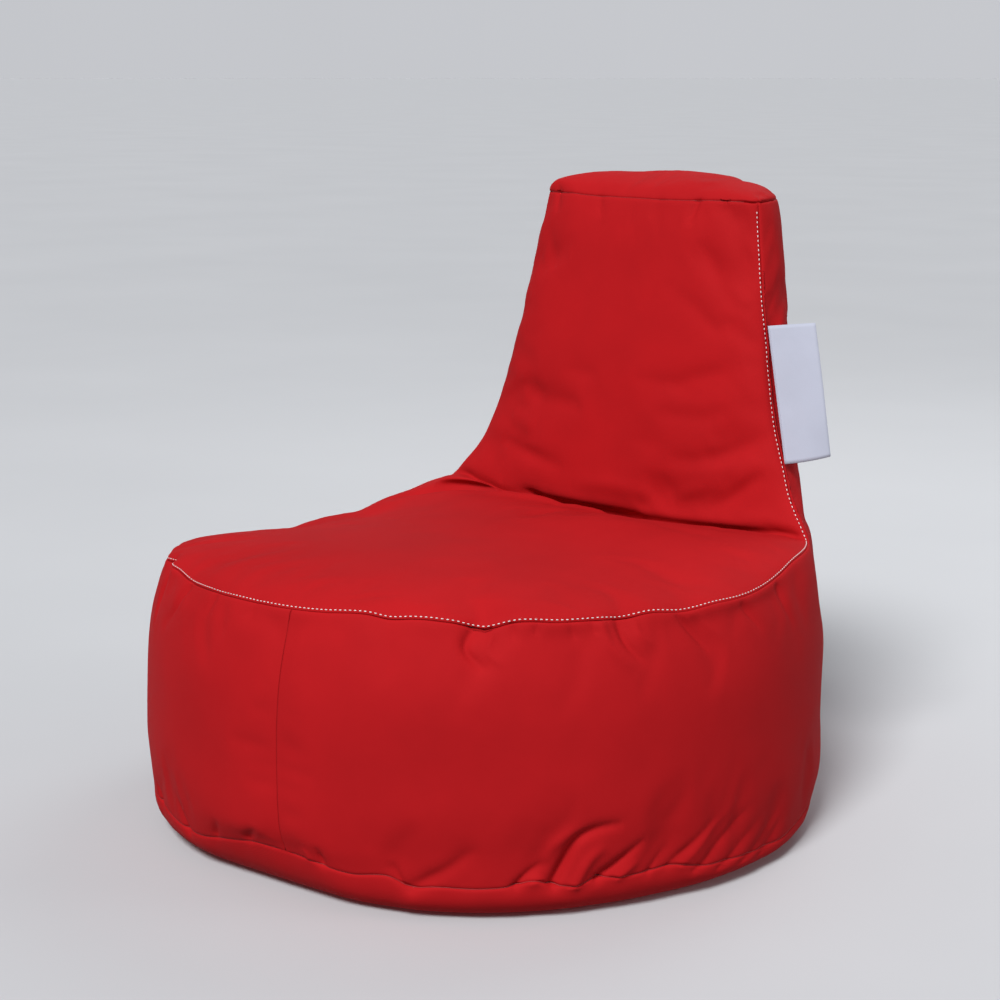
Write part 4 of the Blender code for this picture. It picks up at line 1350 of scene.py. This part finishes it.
def aimed_light(name, kind, azimuth, elevation, strength, size, away=3.4):
    """Soft light from that azimuth (from the front towards +X) and elevation, in degrees."""
    data = bpy.data.lights.new(name, kind)
    data.energy = strength
    if kind == "SUN":
        data.angle = math.radians(size)
    else:
        data.shape = "DISK"
        data.size = size
        data.specular_factor = 0.2
    turn, rise = math.radians(azimuth), math.radians(elevation)
    level = math.cos(rise)
    place = Vector((math.sin(turn) * level, -math.cos(turn) * level, math.sin(rise))) * away
    obj = link(bpy.data.objects.new(name, data))
    obj.location = Vector(LIGHTS_AIM) + place
    obj.rotation_euler = place.to_track_quat("Z", "Y").to_euler()


def make_lights():
    world = bpy.data.worlds.new("studio")
    world.use_nodes = True
    sky = world.node_tree.nodes["Background"].inputs
    sky["Color"].default_value = (0.93, 0.95, 1.0, 1.0)
    sky["Strength"].default_value = 0.29
    bpy.context.scene.world = world
    for light in LIGHTS:
        aimed_light(*light)
    bpy.context.scene.view_settings.view_transform = "Standard"


BACKDROP = (0.52, 0.53, 0.56)
FLOOR_TONES = (0.525, 0.535, 0.555), (0.545, 0.555, 0.575)
LIGHTS_AIM = (0.0, 0.05, 0.32)
# Name, kind, azimuth, elevation, strength, size (degrees for the sun, metres for the others)
LIGHTS = (
    ("key", "SUN", 22.0, 47.0, 3.4, 20.0),
    ("side", "AREA", 118.0, 14.0, 15.0, 1.2),
    ("rear", "AREA", 190.0, 45.0, 22.0, 2.0),
)


def make_camera():
    data = bpy.data.cameras.new("photo_camera")
    data.sensor_width = 36.0
    data.lens = CAMERA_LENS
    obj = link(bpy.data.objects.new("photo_camera", data))
    turn = math.radians(CAMERA_AZIMUTH)
    obj.location = (CAMERA_AWAY * math.sin(turn), -CAMERA_AWAY * math.cos(turn), CAMERA_HEIGHT)
    obj.rotation_euler = (math.pi / 2 - CAMERA_PITCH, 0.0, turn - CAMERA_AIM)
    bpy.context.scene.camera = obj


CAMERA_AZIMUTH = 45.0
CAMERA_AWAY, CAMERA_HEIGHT = 2.60, 0.907
CAMERA_PITCH, CAMERA_AIM = 0.1987, 0.0070
CAMERA_LENS = 77.4


looks = make_looks()
make_floor()
make_backdrop()
make_lights()
make_camera()
coarse = puckered_mesh()
insides = coarse.copy()
set_coordinates(insides, shaped(coordinates(insides), vertex_normals(insides)))
fine = refined(subdivided(coarse))
set_coordinates(fine, shaped(coordinates(fine), vertex_normals(fine)))
panels = make_panels(looks, fine)
fill, liner = make_insides(looks, insides)
make_topstitch(panels, looks)
make_groove_threads(panels, looks)
make_label(looks)
make_zip(looks)
make_handle(looks)
make_tapes(looks)
make_tabs(looks)
dress_nodes(looks)
